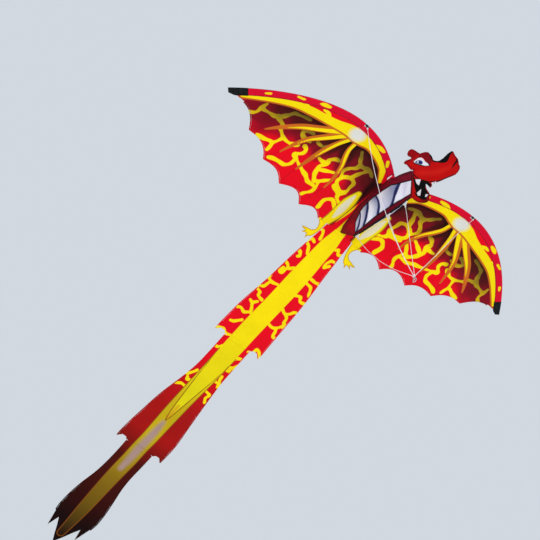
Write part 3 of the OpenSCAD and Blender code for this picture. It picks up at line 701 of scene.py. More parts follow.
def wing_print(spots):
    """Marks of the wing's print at each spot."""
    arm = stroke_gap(spots, ARM)
    finger = strokes_gap(spots, FINGERS)
    vein = strokes_gap(spots, VEINS, 14.0)
    wrist = np.hypot(spots[:, 0] - WRIST[0], (spots[:, 1] - WRIST[1]) * 1.15)
    wobble = 2.4 * np.sin(spots[:, 0] / 8.0) * np.sin(spots[:, 1] / 9.0) + 1.2 * np.sin(spots[:, 0] / 19.0)
    xs, ys, _ = zip(*ARM)
    under_arm = np.interp(spots[:, 0], xs, ys) > spots[:, 1]
    near_arm = np.clip(1.22 - arm / 125, 0, 1) * under_arm
    reach = np.clip((700 - spots[:, 0]) / 200, 0.3, 1)
    tucked = smooth_step(1 - finger / 26) * smooth_step(1.35 - wrist / 210)
    ragged = 0.07 * np.sin(spots[:, 0] / 13.0 + 1.5 * np.sin(spots[:, 1] / 21.0)) * np.sin(spots[:, 1] / 15.0)
    shade = np.clip(near_arm * reach + 0.55 * tucked + ragged * (near_arm > 0), 0, 1)
    crease = smooth_step(1.15 - arm / 24) * np.clip(1.6 - wrist / 240, 0, 1) * under_arm
    crease += tucked * smooth_step(1.25 - wrist / 130)
    lit = np.min([stroke_gap(spots, shifted_left(f)) for f in FINGERS], axis=0)
    return {"arm": arm, "finger": finger, "vein": vein - wobble, "shade": shade,
            "crease": np.clip(crease, 0, 1), "lit": lit, "glow": wrist,
            "under": stroke_gap(spots - np.array([0, -7.0]), ARM), "cusp": strokes_gap(spots, CUSP_LINES),
            "thigh": stroke_gap(spots, THIGH), "cream": stroke_gap(spots, THIGH_LIGHT),
            "dark": stroke_gap(spots, DARK)}


def shifted_left(finger):
    """The lit side of a finger: its inner two fifths, fading out before the finger does."""
    keep = finger[:-2]
    return [(x - 0.3 * w, y - 0.15 * w, w * 0.72 * (1 - 0.7 * i / (len(keep) - 1)))
            for i, (x, y, w) in enumerate(keep)]


def pocket_width(s):
    """The pocket's outer end is cut at a slant."""
    return (sizes().sleeve_width + 1) * (1 - 0.4 * float(np.clip((s - 0.975) / 0.025, 0, 1)))


def teardrop(radius, edge, width):
    """Section of the sleeve: round at the spar and flat at its seam, as distances behind and above."""
    back = SPAR_AT
    nose = [(SPAR_AT + radius * math.cos(a), radius * math.sin(a))
            for a in (math.pi * (0.5 + k / 8) for k in range(9))]
    tail = [(back + (width - back) * t, edge + (radius - edge) * (1 - t) ** 1.7) for t in (0.12, 0.3, 0.5, 0.75, 1)]
    return [(a, -b) for a, b in reversed(tail)] + [(a, b) for a, b in reversed(nose)] + tail


def swept(shares, section):
    """The section at each share of the span, with small gathers where thread pulls at the seam."""
    return [[wing_point(s, a, b * (1 + 0.05 * math.sin(s * 420) * (a / 26))) for a, b in section(s)] for s in shares]


def hem(name, line, place, paint, body, material, width=5.0, closed=False):
    """A folded hem along a sheet's edge: line runs along the edge in flat mm with the sheet on its left."""
    p = np.array(line, dtype=float)
    ahead = np.roll(p, -1, axis=0) - np.roll(p, 1, axis=0)
    if not closed:
        ahead[0], ahead[-1] = p[1] - p[0], p[-1] - p[-2]
    ahead /= np.linalg.norm(ahead, axis=1)[:, None]
    into = np.column_stack([-ahead[:, 1], ahead[:, 0]])
    section = [(width, 0.35), (width * 0.5, 0.7), (0.4, 0.55), (0.4, -0.55), (width * 0.5, -0.7), (width, -0.35)]
    laid = [place(p + into * a, -b) for a, b in section]
    marks = [paint(p + into * a) for a, b in section]
    bm, uv, order = loft([[column[i] for column in laid] for i in range(len(p))], capped=not closed)
    values = {key: np.array([m[key] for m in marks]).T.ravel()[order] for key in marks[0]}
    return finish_piece(name, bm, body, finish(material), marks=values, uv=uv)


def fold_strip(name, outline, place, paint, ends, material):
    """A printed tape under a hinge line; ends are (body, point) before and after the fold, and are not used."""
    (body_a, start), (body_b, end) = ends
    strip = cloth_piece(name, outline, place, paint, None, finish(material), step=2.5)
    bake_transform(strip)
    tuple(start)
    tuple(end)
    return strip


def stitch_row(name, line, body, material="thread", spacing=0.0042, side=1):
    """A row of short stitches along points in row metres, each a small slanted capsule of thread."""
    points = [Vector(q) for q in line]
    bm = bmesh.new()
    carried = 0.0
    for a, b in zip(points, points[1:]):
        way = (b - a).normalized()
        turn = Vector((1, 0, 0)).rotation_difference(way).to_matrix().to_4x4()
        while carried < (b - a).length:
            size = Matrix.Diagonal((spacing * 0.36, 0.0004, 0.00035, 1))
            bmesh.ops.create_icosphere(bm, subdivisions=1, radius=1.0,
                                       matrix=Matrix.Translation(a + way * carried) @ turn @ size)
            carried += spacing
        carried -= (b - a).length
    mirror_x(bm, side)
    return finish_piece(name, bm, body, finish(material), uv=np.zeros((len(bm.verts), 2)))


def wing_patch_section(s):
    """The sleeve's flat seam goes on behind the clip's window."""
    return [wing_point(s, a, b) for a, b in [(10.5, 0.9), (27, 0.8), (27, -0.8), (10.5, -0.9), (9.8, 0)]]


def mirror_x(bm, side):
    if side < 0:
        bmesh.ops.scale(bm, vec=(-1, 1, 1), verts=bm.verts)
        bmesh.ops.reverse_faces(bm, faces=bm.faces)


class KITE_OT_wings(bpy.types.Operator):
    """Make both printed wing sails with their spar sleeves and tip pockets."""
    bl_idname = "kite.wings"
    bl_label = "Wings"

    def execute(self, context):
        outline = wing_outline()
        for side_name, side in SIDES.items():
            body = side_name + "_wing"
            cloth_piece(side_name + "_printed_sail", outline, lambda spots: wing_place(spots, side), wing_print,
                        body, finish("wing"), [side_name + "_wing_sail"])
            parts = [(0.004, CLIP_S - WINDOW_S), (CLIP_S + WINDOW_S, POCKET_S)]
            for label, (start, end) in zip(("inner", "outer"), parts):
                shares = spread(start, end, 4 + int((end - start) * 110))
                bm, uv, _ = loft(swept(shares, lambda s: teardrop(4.0 + 0.9 * max(0, 1 - s / 0.06), 0.7,
                                                                  sizes().sleeve_width)))
                spots = np.array([(v.co - DATUM)[:2] for v in bm.verts]) / MM
                top = np.array([(v.co - DATUM).z for v in bm.verts]) / MM - bow(spots[:, 0])
                mirror_x(bm, side)
                # The points at the sail's level, the sleeve's front fold and seam, get painted shade.
                marks = {"fleck": strokes_gap(spots, FLECKS), "fold": np.clip(np.abs(top) < 0.9, 0, 1)}
                nodes = [side_name + "_spar_sleeve"] if label == "inner" else []
                finish_piece(f"{side_name}_{label}_sleeve", bm, body, finish("sleeve"), nodes, marks,
                             uv=uv)
            shares = spread(*CUFF_S, 5)
            bm, uv, _ = loft(swept(shares, lambda s: teardrop(5.6, 0.7, 22)))
            mirror_x(bm, side)
            finish_piece(side_name + "_root_cuff", bm, "kite_body", finish("red tape"), uv=uv)
            patch = [wing_patch_section(s) for s in spread(CLIP_S - WINDOW_S - 0.002, CLIP_S + WINDOW_S + 0.002, 6)]
            bm, uv, _ = loft(patch)
            mirror_x(bm, side)
            finish_piece(side_name + "_sleeve_window", bm, body, finish("red tape"), uv=uv)
            back = trailing_edge()[HEM_SKIPS]
            hem(side_name + "_rear_hem", back, lambda spots, drop: wing_place(spots, side, drop), wing_print,
                body, "wing")
            seam = [wing_point(s, sizes().sleeve_width - 1.2, -1.0) for s in spread(0.01, POCKET_S, 120)]
            stitch_row(side_name + "_sleeve_stitches", seam, body, side=side)
            fold_x = ROOT_X - FOLD / 2
            strip = [(fold_x - 1.8, 0.5), (fold_x + 8.4, 0.5), (fold_x + 8.4, 274), (fold_x - 1.8, 274)]
            ends = [("kite_body", DATUM + Vector((side * (fold_x - 1.2), 0, 0)) * MM),
                    (body, DATUM + Vector((side * (fold_x + 1.2), 0, 0)) * MM)]
            fold_strip(side_name + "_wing_fold", strip, lambda spots: wing_fold_place(spots, side), wing_print,
                       ends, "wing")
            shares = spread(POCKET_S - 0.004, 1, 12)
            bm, uv, _ = loft(swept(shares, lambda s: teardrop(4.5, 1.2, pocket_width(s))))
            mirror_x(bm, side)
            finish_piece(side_name + "_pocket", bm, body, finish("pocket"),
                         [side_name + "_tip_pocket"], uv=uv)
        return {"FINISHED"}


# ---------------------------------------------------------------- body

# HALF_W and KEEL_Z follow places that a script worked out from marks on the photograph.
HALF_W = [(0, 0.04), (0.085, 0.38), (0.26, 0.71), (0.4, 0.93), (0.55, 1), (0.82, 1), (0.9, 0.62), (1, 0.04)]
KEEL_Z = [(0, 0.71), (0.16, 0.8), (0.36, 0.87), (0.58, 0.93), (0.88, 1.02), (1, 1)]
SEAM_T = [(0, 0.97), (0.05, 0.95), (0.1, 0.78), (0.2, 0.52), (0.35, 0.34), (0.5, 0.28), (0.7, 0.29), (0.85, 0.33),
          (1, 0.35)]
BODY_LEN = 350.0
BODY_HALF = 45.0
KEEL_DEPTH = 110.0


def rise(y):
    return np.interp(y / BODY_LEN, [0, 0.86, 1], [0, 0, 22])


def keel_line(s):
    return np.array([1.8, BODY_LEN * (0.18 + 0.75 * s), -KEEL_DEPTH * lookup(s, KEEL_Z)])


def side_point(s, t, side=1):
    """A point of the body's side in mm: s from the rear forward, t from the sail down to the keel."""
    y = 4 + (BODY_LEN - 4.6) * s
    a = np.array([max(1.8, BODY_HALF * lookup(s, HALF_W)), y, float(rise(y)) - 0.9])
    b = keel_line(s)
    mid = np.array([a[0] + sizes().belly_bulge * math.sin(math.pi * s), (a[1] + b[1]) / 2, a[2] + 0.55 * (b[2] - a[2])])
    p = (1 - t) ** 2 * a + 2 * t * (1 - t) * mid + t * t * b
    return p * (side, 1, 1)


# A side is cut flat as 350 mm by 120 mm: s runs along its length and t across it.
SIDE_FLAT = np.array([350.0, 120.0])
# Several points are as printed by a script that placed marks made on the photograph.
RIBS = [[(0.17, 0.42, 2), (0.10, 0.6, 3), (0.03, 0.86, 4)],
        [(0.34, 0.34, 2), (0.30, 0.5, 3), (0.22, 0.68, 4), (0.12, 0.84, 4), (0.06, 0.95, 3)],
        [(0.48, 0.28, 5), (0.43, 0.51, 5.5), (0.34, 0.71, 5), (0.24, 0.86, 4), (0.19, 0.95, 4)],
        [(0.60, 0.28, 3), (0.60, 0.5, 4), (0.57, 0.69, 5), (0.51, 0.83, 5), (0.45, 0.95, 5)],
        [(0.90, 0.31, 5), (0.86, 0.52, 6), (0.82, 0.68, 5.5), (0.75, 0.84, 5), (0.67, 0.96, 7)]]
# Strokes of painted shade where the flank's cloth folds.
FOLD_SHADE_STROKES = [[(0.30, 0.1, 2), (0.34, 0.3, 3)], [(0.5, 0.04, 2), (0.47, 0.24, 3)], [(0.66, 0.05, 2), (0.7, 0.26, 2)],
         [(0.2, 0.15, 2), (0.24, 0.45, 3)], [(0.85, 0.1, 2), (0.93, 0.3, 2)]]


def on_side(strokes):
    return [[(s * SIDE_FLAT[0], t * SIDE_FLAT[1], w) for s, t, w in path] for path in strokes]


def side_place(side):
    return lambda spots: row([side_point(s, t, side) for s, t in spots / SIDE_FLAT])


def nose_place(spots):
    """The nose cover rises forward and crowns a little over the neck stay."""
    x, y = spots[:, 0], spots[:, 1]
    crown = 2 * (1 - (x / 38) ** 2)
    return row(np.column_stack([x, y, rise(y) + crown]))


def belly_print(spots):
    share = spots / SIDE_FLAT
    ribs = on_side(RIBS)
    shadow = np.zeros(len(spots))
    for path, reach in zip(ribs, (30, 34, 44, 40, 74)):
        line = rounded(path)
        at = np.interp(spots[:, 1], line[:, 1], line[:, 0])
        gap = at - spots[:, 0]
        shadow = np.maximum(shadow, np.where(gap > -1, np.clip(1 - gap / reach, 0, 1), 0))
    shadow = shadow ** 0.8 * np.clip(1.35 - share[:, 1] * 0.8, 0.3, 1)
    seam = (share[:, 1] - np.interp(share[:, 0], *zip(*SEAM_T))) * SIDE_FLAT[1]
    keel = (1 - share[:, 1]) * SIDE_FLAT[1] + 2
    band = (0.885 - share[:, 1] + 0.04 * np.abs(share[:, 0] - 0.45)) * SIDE_FLAT[1]
    return {"rib": strokes_gap(spots, ribs), "shadow": shadow, "seam": np.minimum(seam, np.abs(band)),
            "band": np.minimum(band, keel),
            "lilac": strokes_gap(spots, on_side([[(0.95, 0.4, 6), (0.93, 0.7, 5), (0.9, 0.95, 3)],
                                                [(0.66, 0.55, 4), (0.6, 0.95, 5)], [(0.3, 0.5, 3), (0.12, 0.9, 5)]]))}


def flank_print(spots):
    share = spots / SIDE_FLAT
    seam = (np.interp(share[:, 0], *zip(*SEAM_T)) - share[:, 1]) * SIDE_FLAT[1]
    top = np.clip(1 - share[:, 1] / 0.13, 0, 1)
    rear = np.clip(1 - np.abs(share[:, 0] - 0.12) / 0.14, 0, 1) * np.clip(share[:, 1] * 2.2, 0, 1)
    # The fold strokes give painted shade along the flank's folds.
    return {"seam": seam, "top": top, "rear": rear, "folds": strokes_gap(spots, on_side(FOLD_SHADE_STROKES))}


def side_outline(upper, lower):
    shares = spread(0, 1, 29)
    low = [(s * SIDE_FLAT[0], upper(s) * SIDE_FLAT[1]) for s in shares]
    high = [(s * SIDE_FLAT[0], lower(s) * SIDE_FLAT[1]) for s in reversed(shares)]
    return [(float(a), float(b)) for a, b in low + high]


class KITE_OT_body(bpy.types.Operator):
    """Make the keel body: maroon flanks, ribbed belly, centre panel, nose cover and black keel binding."""
    bl_idname = "kite.body"
    bl_label = "Body"

    def execute(self, context):
        for side_name, side in SIDES.items():
            cloth_piece(side_name + "_printed_flank", side_outline(lambda s: 0.0, lambda s: lookup(s, SEAM_T)),
                        side_place(side), flank_print, "kite_body", finish("flank"),
                        [side_name + "_flank"], step=4.0)
            cloth_piece(side_name + "_printed_belly", side_outline(lambda s: lookup(s, SEAM_T), lambda s: 1.0),
                        side_place(side), belly_print, "kite_body", finish("belly"),
                        [side_name + "_belly"], step=3.0)
        red = {"vein": 50, "rim": 50, "core": 50, "outline": 50, "arrow": 50, "glow": 50, "tip": 50, "along": 0}
        panel = [(-47, 0), (47, 0), (47, 293), (11.5, 260), (-11.5, 260), (-47, 293)]
        cloth_piece("printed_centre_panel", panel, lambda spots: row(np.column_stack([spots, 0 * spots[:, 0]])),
                    lambda spots: {**{key: np.full(len(spots), v) for key, v in red.items()},
                                   "core": np.minimum(stroke_gap(spots, [(0, -9, 20), (0, 240, 34), (0, 262, 30)]),
                                                      stroke_gap(np.abs(spots),
                                                                 [(49, 24, 4), (49, 90, 11), (49, 130, 3)]))},
                    "kite_body", finish("tail"), ["centre_panel"])
        widths = [(294, 27), (300, 36), (306, 33), (316, 27), (326, 20), (336, 12), (348, 3)]
        cover = [(-w, y) for y, w in widths] + [(w, y) for y, w in reversed(widths)]
        cloth_piece("printed_nose_cover", cover, nose_place,
                    lambda spots: {"seam": np.full(len(spots), 50.0), "folds": np.full(len(spots), 50.0),
                                   "rear": np.zeros(len(spots)), "top": smooth_step(np.abs(spots[:, 0]) / 40)},
                    "kite_body", finish("flank"), ["nose_cover"], step=4.0)
        low, high = (Vector(c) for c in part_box("spine_loops"))
        middle = (low.z + high.z) / 2 / MM - DATUM.z / MM - 0.7
        ring = [(3.3 * math.cos(a), 3.3 * math.sin(a)) for a in (math.tau * n / 14 for n in range(14))]
        for k, y in enumerate((0.25, 0.5, 0.7)):
            rows = [[row((u, y * BODY_LEN + v, middle + w + 0.15 * math.sin(v * 1.7))) for u, w in ring]
                    for v in spread(-8, 8, 9)]
            bm, uv, _ = loft(rows, capped=False)
            finish_piece(f"webbing_loop_{k + 1}", bm, "kite_body", finish("red tape"),
                         ["spine_loops"] if k == 0 else [], thickness=0.0007, uv=uv)
        section = [(2.0, -0.5), (2.0, -5.5), (1.4, -7.3), (0, -8.0), (-1.4, -7.3), (-2.0, -5.5), (-2.0, -0.5), (0, 0)]
        rows = [[row(keel_line(s) * (0, 1, 1) + (x, 0, z)) for x, z in section] for s in spread(0, 1, 60)]
        bm, uv, _ = loft(rows)
        finish_piece("black_keel_tape", bm, "kite_body", finish("binding"), ["keel_binding"], uv=uv)
        return {"FINISHED"}


# ---------------------------------------------------------------- head

HEAD_START = Vector((352.8, 20.8))      # the seam's top, ahead of and above the datum
HEAD_END = Vector((328.3, -110.0))      # the seam's lower end
SKULL = [(2, 4), (-6, 10), (-11, 25), (-16, 42), (-21, 60), (-29, 72), (-32, 81), (-28, 88), (-18, 86), (-8, 79),
         (1, 74), (3, 80), (-5, 94), (-11, 108), (-11, 120), (-5, 129), (4, 130), (13, 123), (22, 107), (30, 89),
         (37, 73), (43, 61), (51, 57), (62, 49), (72, 39), (79, 27), (82, 15), (86, 3), (89, -11), (90, -25),
         (92, -34)]
SNOUT = [(98, -44), (105, -53), (115, -61), (131, -63), (151, -58), (169, -60), (175, -70), (176, -84), (180, -104),
         (185, -124), (186, -142), (185, -159), (188, -174), (185, -188), (176, -198), (165, -201), (151, -195),
         (136, -187), (119, -179), (101, -172), (91, -166), (83, -162), (76, -158), (69, -151)]
MOUTH = [(66, -165), (58, -166), (54, -154), (49, -138), (43, -127), (42, -146), (45, -166), (49, -181)]
JAW = [(51, -190), (51, -208), (46, -222), (37, -229), (23, -220), (7, -202), (-6, -182), (-16, -160)]
EYE = [(363, 68), (385, 66), (397, 55), (405, 38), (410, 15), (418, -3), (424, -24), (405, -5), (385, 26), (366, 56)]
IRIS = [(373, 50, 8), (385, 36, 10), (392, 22, 8)]
BROW = [(385, 74), (402, 76), (418, 66), (428, 50), (433, 30), (436, 8), (440, -8), (430, -20), (422, -10),
        (414, 12), (408, 40), (398, 60)]
MOUTH_INK = [(350, 2), (356, -34), (368, -50), (380, -70), (403, -94), (418, -130), (414, -141), (406, -143),
             (396, -110), (391, -125), (398, -160), (402, -172), (396, -184), (384, -186), (370, -166),
             (352, -128), (349, -80)]
SNOUT_INK = [(452, -30), (474, -38), (500, -34), (522, -36), (525, -48), (512, -56), (503, -70), (496, -77),
             (482, -70), (466, -52)]
NOSTRIL = [(536, -96), (536, -116), (524, -124), (506, -132), (512, -120), (526, -108)]
FANGS = [[(357, -38), (380, -62), (368, -87), (360, -66)], [(354, -117), (375, -115), (366, -146), (357, -136)],
         [(389, -160), (399, -172), (390, -178), (384, -172)], [(419, -124), (430, -130), (422, -142)],
         [(430, -131), (440, -137), (434, -147)]]
EYE_LINES = [[(360, 66, 2.5), (380, 71, 2), (398, 60, 2), (410, 38, 2), (416, 10, 2.2), (427, -26, 2.2)],
             [(427, -26, 2), (404, -4, 2.4), (383, 27, 2.6), (364, 58, 2.6)],
             [(432, 38, 1.5), (438, 14, 4.5), (441, -4, 4)]]
FACE_LINES = [[(398, -96, 1.5), (420, -118, 2), (446, -142, 2.4), (480, -160, 2.4), (512, -172, 1.5)],
              [(352, 0, 2), (372, -50, 2), (398, -92, 2)], [(440, -12, 2), (452, -30, 2.5), (466, -42, 3)],
              [(345, -102, 1.5), (352, -130, 2.2), (370, -168, 2.2), (388, -190, 2)]]


def head_print(outline):
    def paint(spots):
        return {"crest": np.minimum(patch_gap(spots, [(318, 110), (332, 90), (350, 78), (398, 84), (380, 110),
                                                     (362, 150), (342, 152), (334, 120)]), 40),
                "rim": patch_gap(spots, outline), "light": stroke_gap(spots, [(372, -10, 9), (420, -66, 12),
                                                                             (470, -104, 14), (510, -120, 10)]),
                "jowl": stroke_gap(spots, [(372, -172, 9), (386, -196, 12), (392, -212, 10)]),
                "line": np.minimum(strokes_gap(spots, FACE_LINES), strokes_gap(spots, EYE_LINES)),
                "brow": patch_gap(spots, BROW),
                "ink": np.min([patch_gap(spots, p) for p in (MOUTH_INK, SNOUT_INK, NOSTRIL)], axis=0),
                "white": np.min([patch_gap(spots, p) for p in [EYE, *FANGS]], axis=0),
                "iris": np.maximum(stroke_gap(spots, IRIS), patch_gap(spots, EYE) + 1),
                "pupil": stroke_gap(spots, [(386, 34, 4), (391, 24, 3)]),
                "glint": stroke_gap(spots, [(379, 48, 3), (382, 42, 2.6)])}
    return paint


def head_place(spots):
    """The flat head stands on edge, with a slight curl of the snout as the wind leans on it."""
    ahead = np.clip((spots[:, 0] - 360) / 180, 0, 1)
    curl = 3.5 * ahead ** 2 * np.sin(spots[:, 1] / 60)
    return row(np.column_stack([curl, spots[:, 0], spots[:, 1]]))


class KITE_OT_head(bpy.types.Operator):
    """Make the flat printed head, which swings about its seam."""
    bl_idname = "kite.head"
    bl_label = "Head"

    def execute(self, context):
        start = HEAD_START
        outline = [tuple(start)] + [tuple(start + Vector(p)) for p in SKULL + SNOUT + MOUTH + JAW] + [tuple(HEAD_END)]
        top, end = Vector((350.9, 20.8)), Vector((327.4, -110.0))
        across = Vector(((top - end).y, -(top - end).x)).normalized()
        tape = [top - 7 * across, top + 4.5 * across, end + 4.5 * across, end - 7 * across]
        low, high = top - 1.2 * across, top + 1.2 * across
        ends = [("kite_body", DATUM + Vector((0, *low)) * MM), ("dragon_head", DATUM + Vector((0, *high)) * MM)]
        strip = fold_strip("neck_seam_tape", [tuple(c) for c in tape], head_place,
                           lambda spots: {"seam": np.full(len(spots), 50.0), "folds": np.full(len(spots), 50.0),
                                          "rear": np.zeros(len(spots)), "top": np.full(len(spots), 0.4)},
                           ends, "flank")
        strip.modifiers["Cloth thickness"].thickness = 0.0014
        cloth_piece("printed_head", outline, head_place, head_print(outline), "dragon_head",
                    finish("head"), ["head"], step=2.5)
        return {"FINISHED"}


# ---------------------------------------------------------------- tail and claws

TAIL_HALF = 105.0
TAIL_LEN, TAIL_END = 547.0, 500.0
HINGE_Y = -FOLD / 2
TAIL_DROOP = math.radians(16.7)
CLAW_DROOP = math.radians(25.0)
TAIL_SIDES = {
    "front": [(0, 0.55), (0.1, 0.6), (0.2, 0.67), (0.4, 0.77), (0.6, 0.87), (0.8, 0.96), (0.97, 1)],
    "middle": [(0, 0.56), (0.15, 0.56), (0.28, 0.57), (0.4, 0.65), (0.55, 0.78), (0.7, 0.89), (0.85, 0.98), (0.97, 1)],
    "rear": [(0, 0.56), (0.2, 0.55), (0.34, 0.6), (0.48, 0.72), (0.6, 0.8), (0.7, 0.82)]}
NECK = 0.56
FLAMES = [(0.78, 0.76), (0.62, 0.9), (0.5, 0.8), (0.34, 0.86), (0.18, 0.93), (0, 1)]
TAIL_VEINS = [
    [(-69, 60), (-54, 64), (-44, 50), (-36, 56)], [(-62, 118), (-50, 132), (-46, 116), (-54, 98), (-66, 94)],
    [(-86, 190), (-64, 195), (-36, 195)], [(-96, 256), (-78, 246), (-64, 221), (-36, 216)],
    [(-92, 280), (-70, 285), (-58, 270), (-36, 278)], [(-104, 320), (-84, 330), (-74, 346), (-58, 355), (-36, 345)],
    [(-100, 390), (-84, 385), (-80, 366), (-70, 358)], [(-104, 400), (-88, 402), (-82, 412), (-64, 425), (-36, 420)],
    [(-106, 450), (-90, 452), (-84, 432), (-78, 420)], [(-108, 545), (-94, 530), (-78, 525), (-72, 545), (-58, 552)],
    [(-60, 590), (-46, 595), (-36, 606)], [(-64, 620), (-54, 636), (-38, 642)],
    [(-60, 650), (-46, 656), (-36, 650)], [(-60, 710), (-44, 716), (-34, 710)], [(-64, 730), (-50, 702), (-46, 685)],
    [(-70, 806), (-60, 790), (-62, 772), (-36, 766)],
    [(40, 60), (52, 32), (68, 28)], [(50, 82), (66, 76), (78, 92)], [(40, 130), (56, 106), (72, 100)],
    [(62, 160), (56, 152), (66, 140), (78, 140)], [(40, 200), (56, 215), (66, 206), (80, 200)],
    [(62, 220), (63, 240), (77, 240), (72, 222)], [(44, 285), (66, 290), (86, 285), (92, 270)],
    [(76, 300), (80, 320), (94, 325)], [(48, 365), (70, 360), (76, 346), (94, 340)],
    [(56, 380), (66, 395), (56, 411), (44, 430)], [(66, 396), (82, 390)],
    [(50, 430), (66, 441), (86, 435), (98, 440)], [(50, 470), (70, 490), (84, 495)],
    [(44, 540), (66, 546), (82, 535), (104, 545)], [(40, 590), (46, 600), (62, 605)],
    [(46, 720), (54, 735), (66, 750), (80, 755)], [(40, 766), (52, 770), (58, 760)],
    [(40, 796), (56, 795), (74, 806)]]
CORE = [(0, -20, 20), (0, 20, 25), (0, 60, 32), (0, 130, 35), (0, 210, 38), (0, 300, 39), (0, 560, 40),
        (0, 650, 38), (0, 750, 37), (0, 900, 34), (0, 1050, 31), (0, 1250, 29),
        (0, 1420, 23), (0, 1545, 14)]
ARROW = [(-18, -30), (18, -30), (25, 20), (32, 60), (35, 130), (38, 210), (39, 300), (39, 560),
         (37, 640), (30, 730), (18, 830), (7, 915), (0, 945), (-7, 915),
         (-18, 830), (-30, 730), (-37, 640), (-39, 560), (-39, 300),
         (-38, 210), (-35, 130), (-32, 60), (-25, 20)]
ARROW_EDGES = [[(37, 640, 1.5), (30, 730, 2.5), (18, 830, 3), (7, 915, 3), (0, 948, 2)],
               [(-37, 640, 1.5), (-30, 730, 2.5), (-18, 830, 3), (-7, 915, 3), (0, 948, 2)]]


def tail_print(spots):
    """Marks of the tail's print; spots are across and along from the tail's front edge."""
    core = stroke_gap(spots, CORE)
    wobble = 1.2 * np.sin(spots[:, 0] / 6.0) * np.sin(spots[:, 1] / 8.0)
    vein = strokes_gap(spots, TAIL_VEINS, 11.5) - wobble
    return {"along": spots[:, 1], "core": core, "rim": np.where(spots[:, 1] > 600, core - 3, 50),
            "vein": vein, "arrow": patch_gap(spots, ARROW), "outline": strokes_gap(spots, ARROW_EDGES),
            "glow": stroke_gap(spots, [(0, 960, 8), (0, 1010, 14), (0, 1120, 15), (0, 1200, 10)]),
            "tip": stroke_gap(spots, [(0, 875, 3), (0, 930, 5)])}


def tail_outline(kind, start, length):
    barbs = [(0.99, length + 6), (0.86, length - 8), (0.7, length - 8), (NECK + 0.06, length)]
    ends = [(a, b * length) for a, b in FLAMES] if kind == "rear" else barbs
    right = [(w * TAIL_HALF, start + share * length) for share, w in TAIL_SIDES[kind]]
    right += [(w * TAIL_HALF, start + v) for w, v in ends]
    return right + [(-x, v) for x, v in reversed(right) if x > 0.1]


def tail_place(spots, drop=0.0):
    """Lays the tail out along its drooping plane, with a slow ripple down its length."""
    x, v = spots[:, 0], spots[:, 1]
    calm = np.clip(np.minimum.reduce([np.abs(v - f) for f in (0, TAIL_LEN, 2 * TAIL_LEN)]) / 60, 0, 1)
    up = calm * (2.6 * np.sin(v / 62.0) + 1.6 * np.sin(v / 37.0 + x / 30.0) * np.abs(x) / TAIL_HALF)
    up -= drop + calm * 2.0 * np.cos(np.pi * x / TAIL_HALF / 2)
    droop = np.where(v < 0, 0.0, TAIL_DROOP)
    y = HINGE_Y - v * np.cos(droop) - up * np.sin(droop)
    z = -v * np.sin(droop) + up * np.cos(droop)
    return row(np.column_stack([x, y, z]))


CLAW_X = 65.1
CLAW = [(0, 0), (44, 0), (33, 6), (24, 16), (19, 30), (21, 42), (32, 51), (50, 54), (72, 60), (62, 65), (50, 65),
        (60, 78), (46, 73), (38, 72), (36, 88), (28, 76), (20, 72), (12, 60), (6, 42), (2, 20)]


def claw_place(spots, side=1, drop=0.0):
    x, v = spots[:, 0], spots[:, 1]
    up = -drop - 3.0 * np.clip(v / 90, 0, 1) ** 2
    droop = np.where(v < 0, 0.0, CLAW_DROOP)
    y = HINGE_Y - v * np.cos(droop) - up * np.sin(droop)
    z = -v * np.sin(droop) + up * np.cos(droop) + bow(x) * (v < 0)
    return row(np.column_stack([side * x, y, z]))


class KITE_OT_tail(bpy.types.Operator):
    """Make the tail's three printed sections and the two claw flaps."""
    bl_idname = "kite.tail"
    bl_label = "Tail and claws"

    def execute(self, context):
        starts = {"front": (FOLD / 2, TAIL_LEN - FOLD), "middle": (TAIL_LEN + FOLD / 2, TAIL_LEN - FOLD),
                  "rear": (2 * TAIL_LEN + FOLD / 2, TAIL_END)}
        for kind, (start, length) in starts.items():
            cloth_piece(f"printed_tail_{kind}", tail_outline(kind, start, length), tail_place, tail_print,
                        f"tail_{kind}_flap", finish("tail"), ["tail_" + kind], step=4.0)
            edge = [q for q in tail_outline(kind, start, length) if q[0] > 0][:len(TAIL_SIDES[kind]) + 1]
            for side_name, side in SIDES.items():
                line = rounded([(side * x, v) for x, v in edge])
                hem(f"{side_name}_{kind}_tail_hem", line if side < 0 else line[::-1], tail_place, tail_print,
                    f"tail_{kind}_flap", "tail", width=4.0)
        joints = [("kite_body", "tail_front_flap", 0.0), ("tail_front_flap", "tail_middle_flap", TAIL_LEN),
                  ("tail_middle_flap", "tail_rear_flap", 2 * TAIL_LEN)]
        for before, after, at in joints:
            strip = [(-57, at - 7), (57, at - 7), (57, at + 7), (-57, at + 7)]
            ends = [(body, Vector(tail_place(np.array([[0.0, at + v]]))[0])) for body, v in
                    ((before, -1.2), (after, 1.2))]
            fold_strip(after + "_fold", strip, lambda spots: tail_place(spots, 0.9), tail_print, ends, "tail")
        outline = [(CLAW_X + x, FOLD / 2 + v) for x, v in CLAW]
        for side_name, side in SIDES.items():
            cloth_piece(side_name + "_printed_claw", outline, lambda spots: claw_place(spots, side),
                        lambda spots: {"rim": patch_gap(spots, outline)}, side_name + "_claw_flap",
                        finish("claw"), [side_name + "_claw"], step=3.0)
            strip = [(CLAW_X, -6), (CLAW_X + 42, -6), (CLAW_X + 40, 6), (CLAW_X + 1, 6)]
            ends = [(side_name + "_wing", Vector(claw_place(np.array([[0.0, -1.2]]), side)[0])),
                    (side_name + "_claw_flap", Vector(claw_place(np.array([[0.0, 1.2]]), side)[0]))]
            fold_strip(side_name + "_claw_fold", strip, lambda spots: claw_place(spots, side, 0.9),
                       lambda spots: {"rim": np.full(len(spots), -9.0)}, ends, "claw")
        return {"FINISHED"}


# ---------------------------------------------------------------- bridle

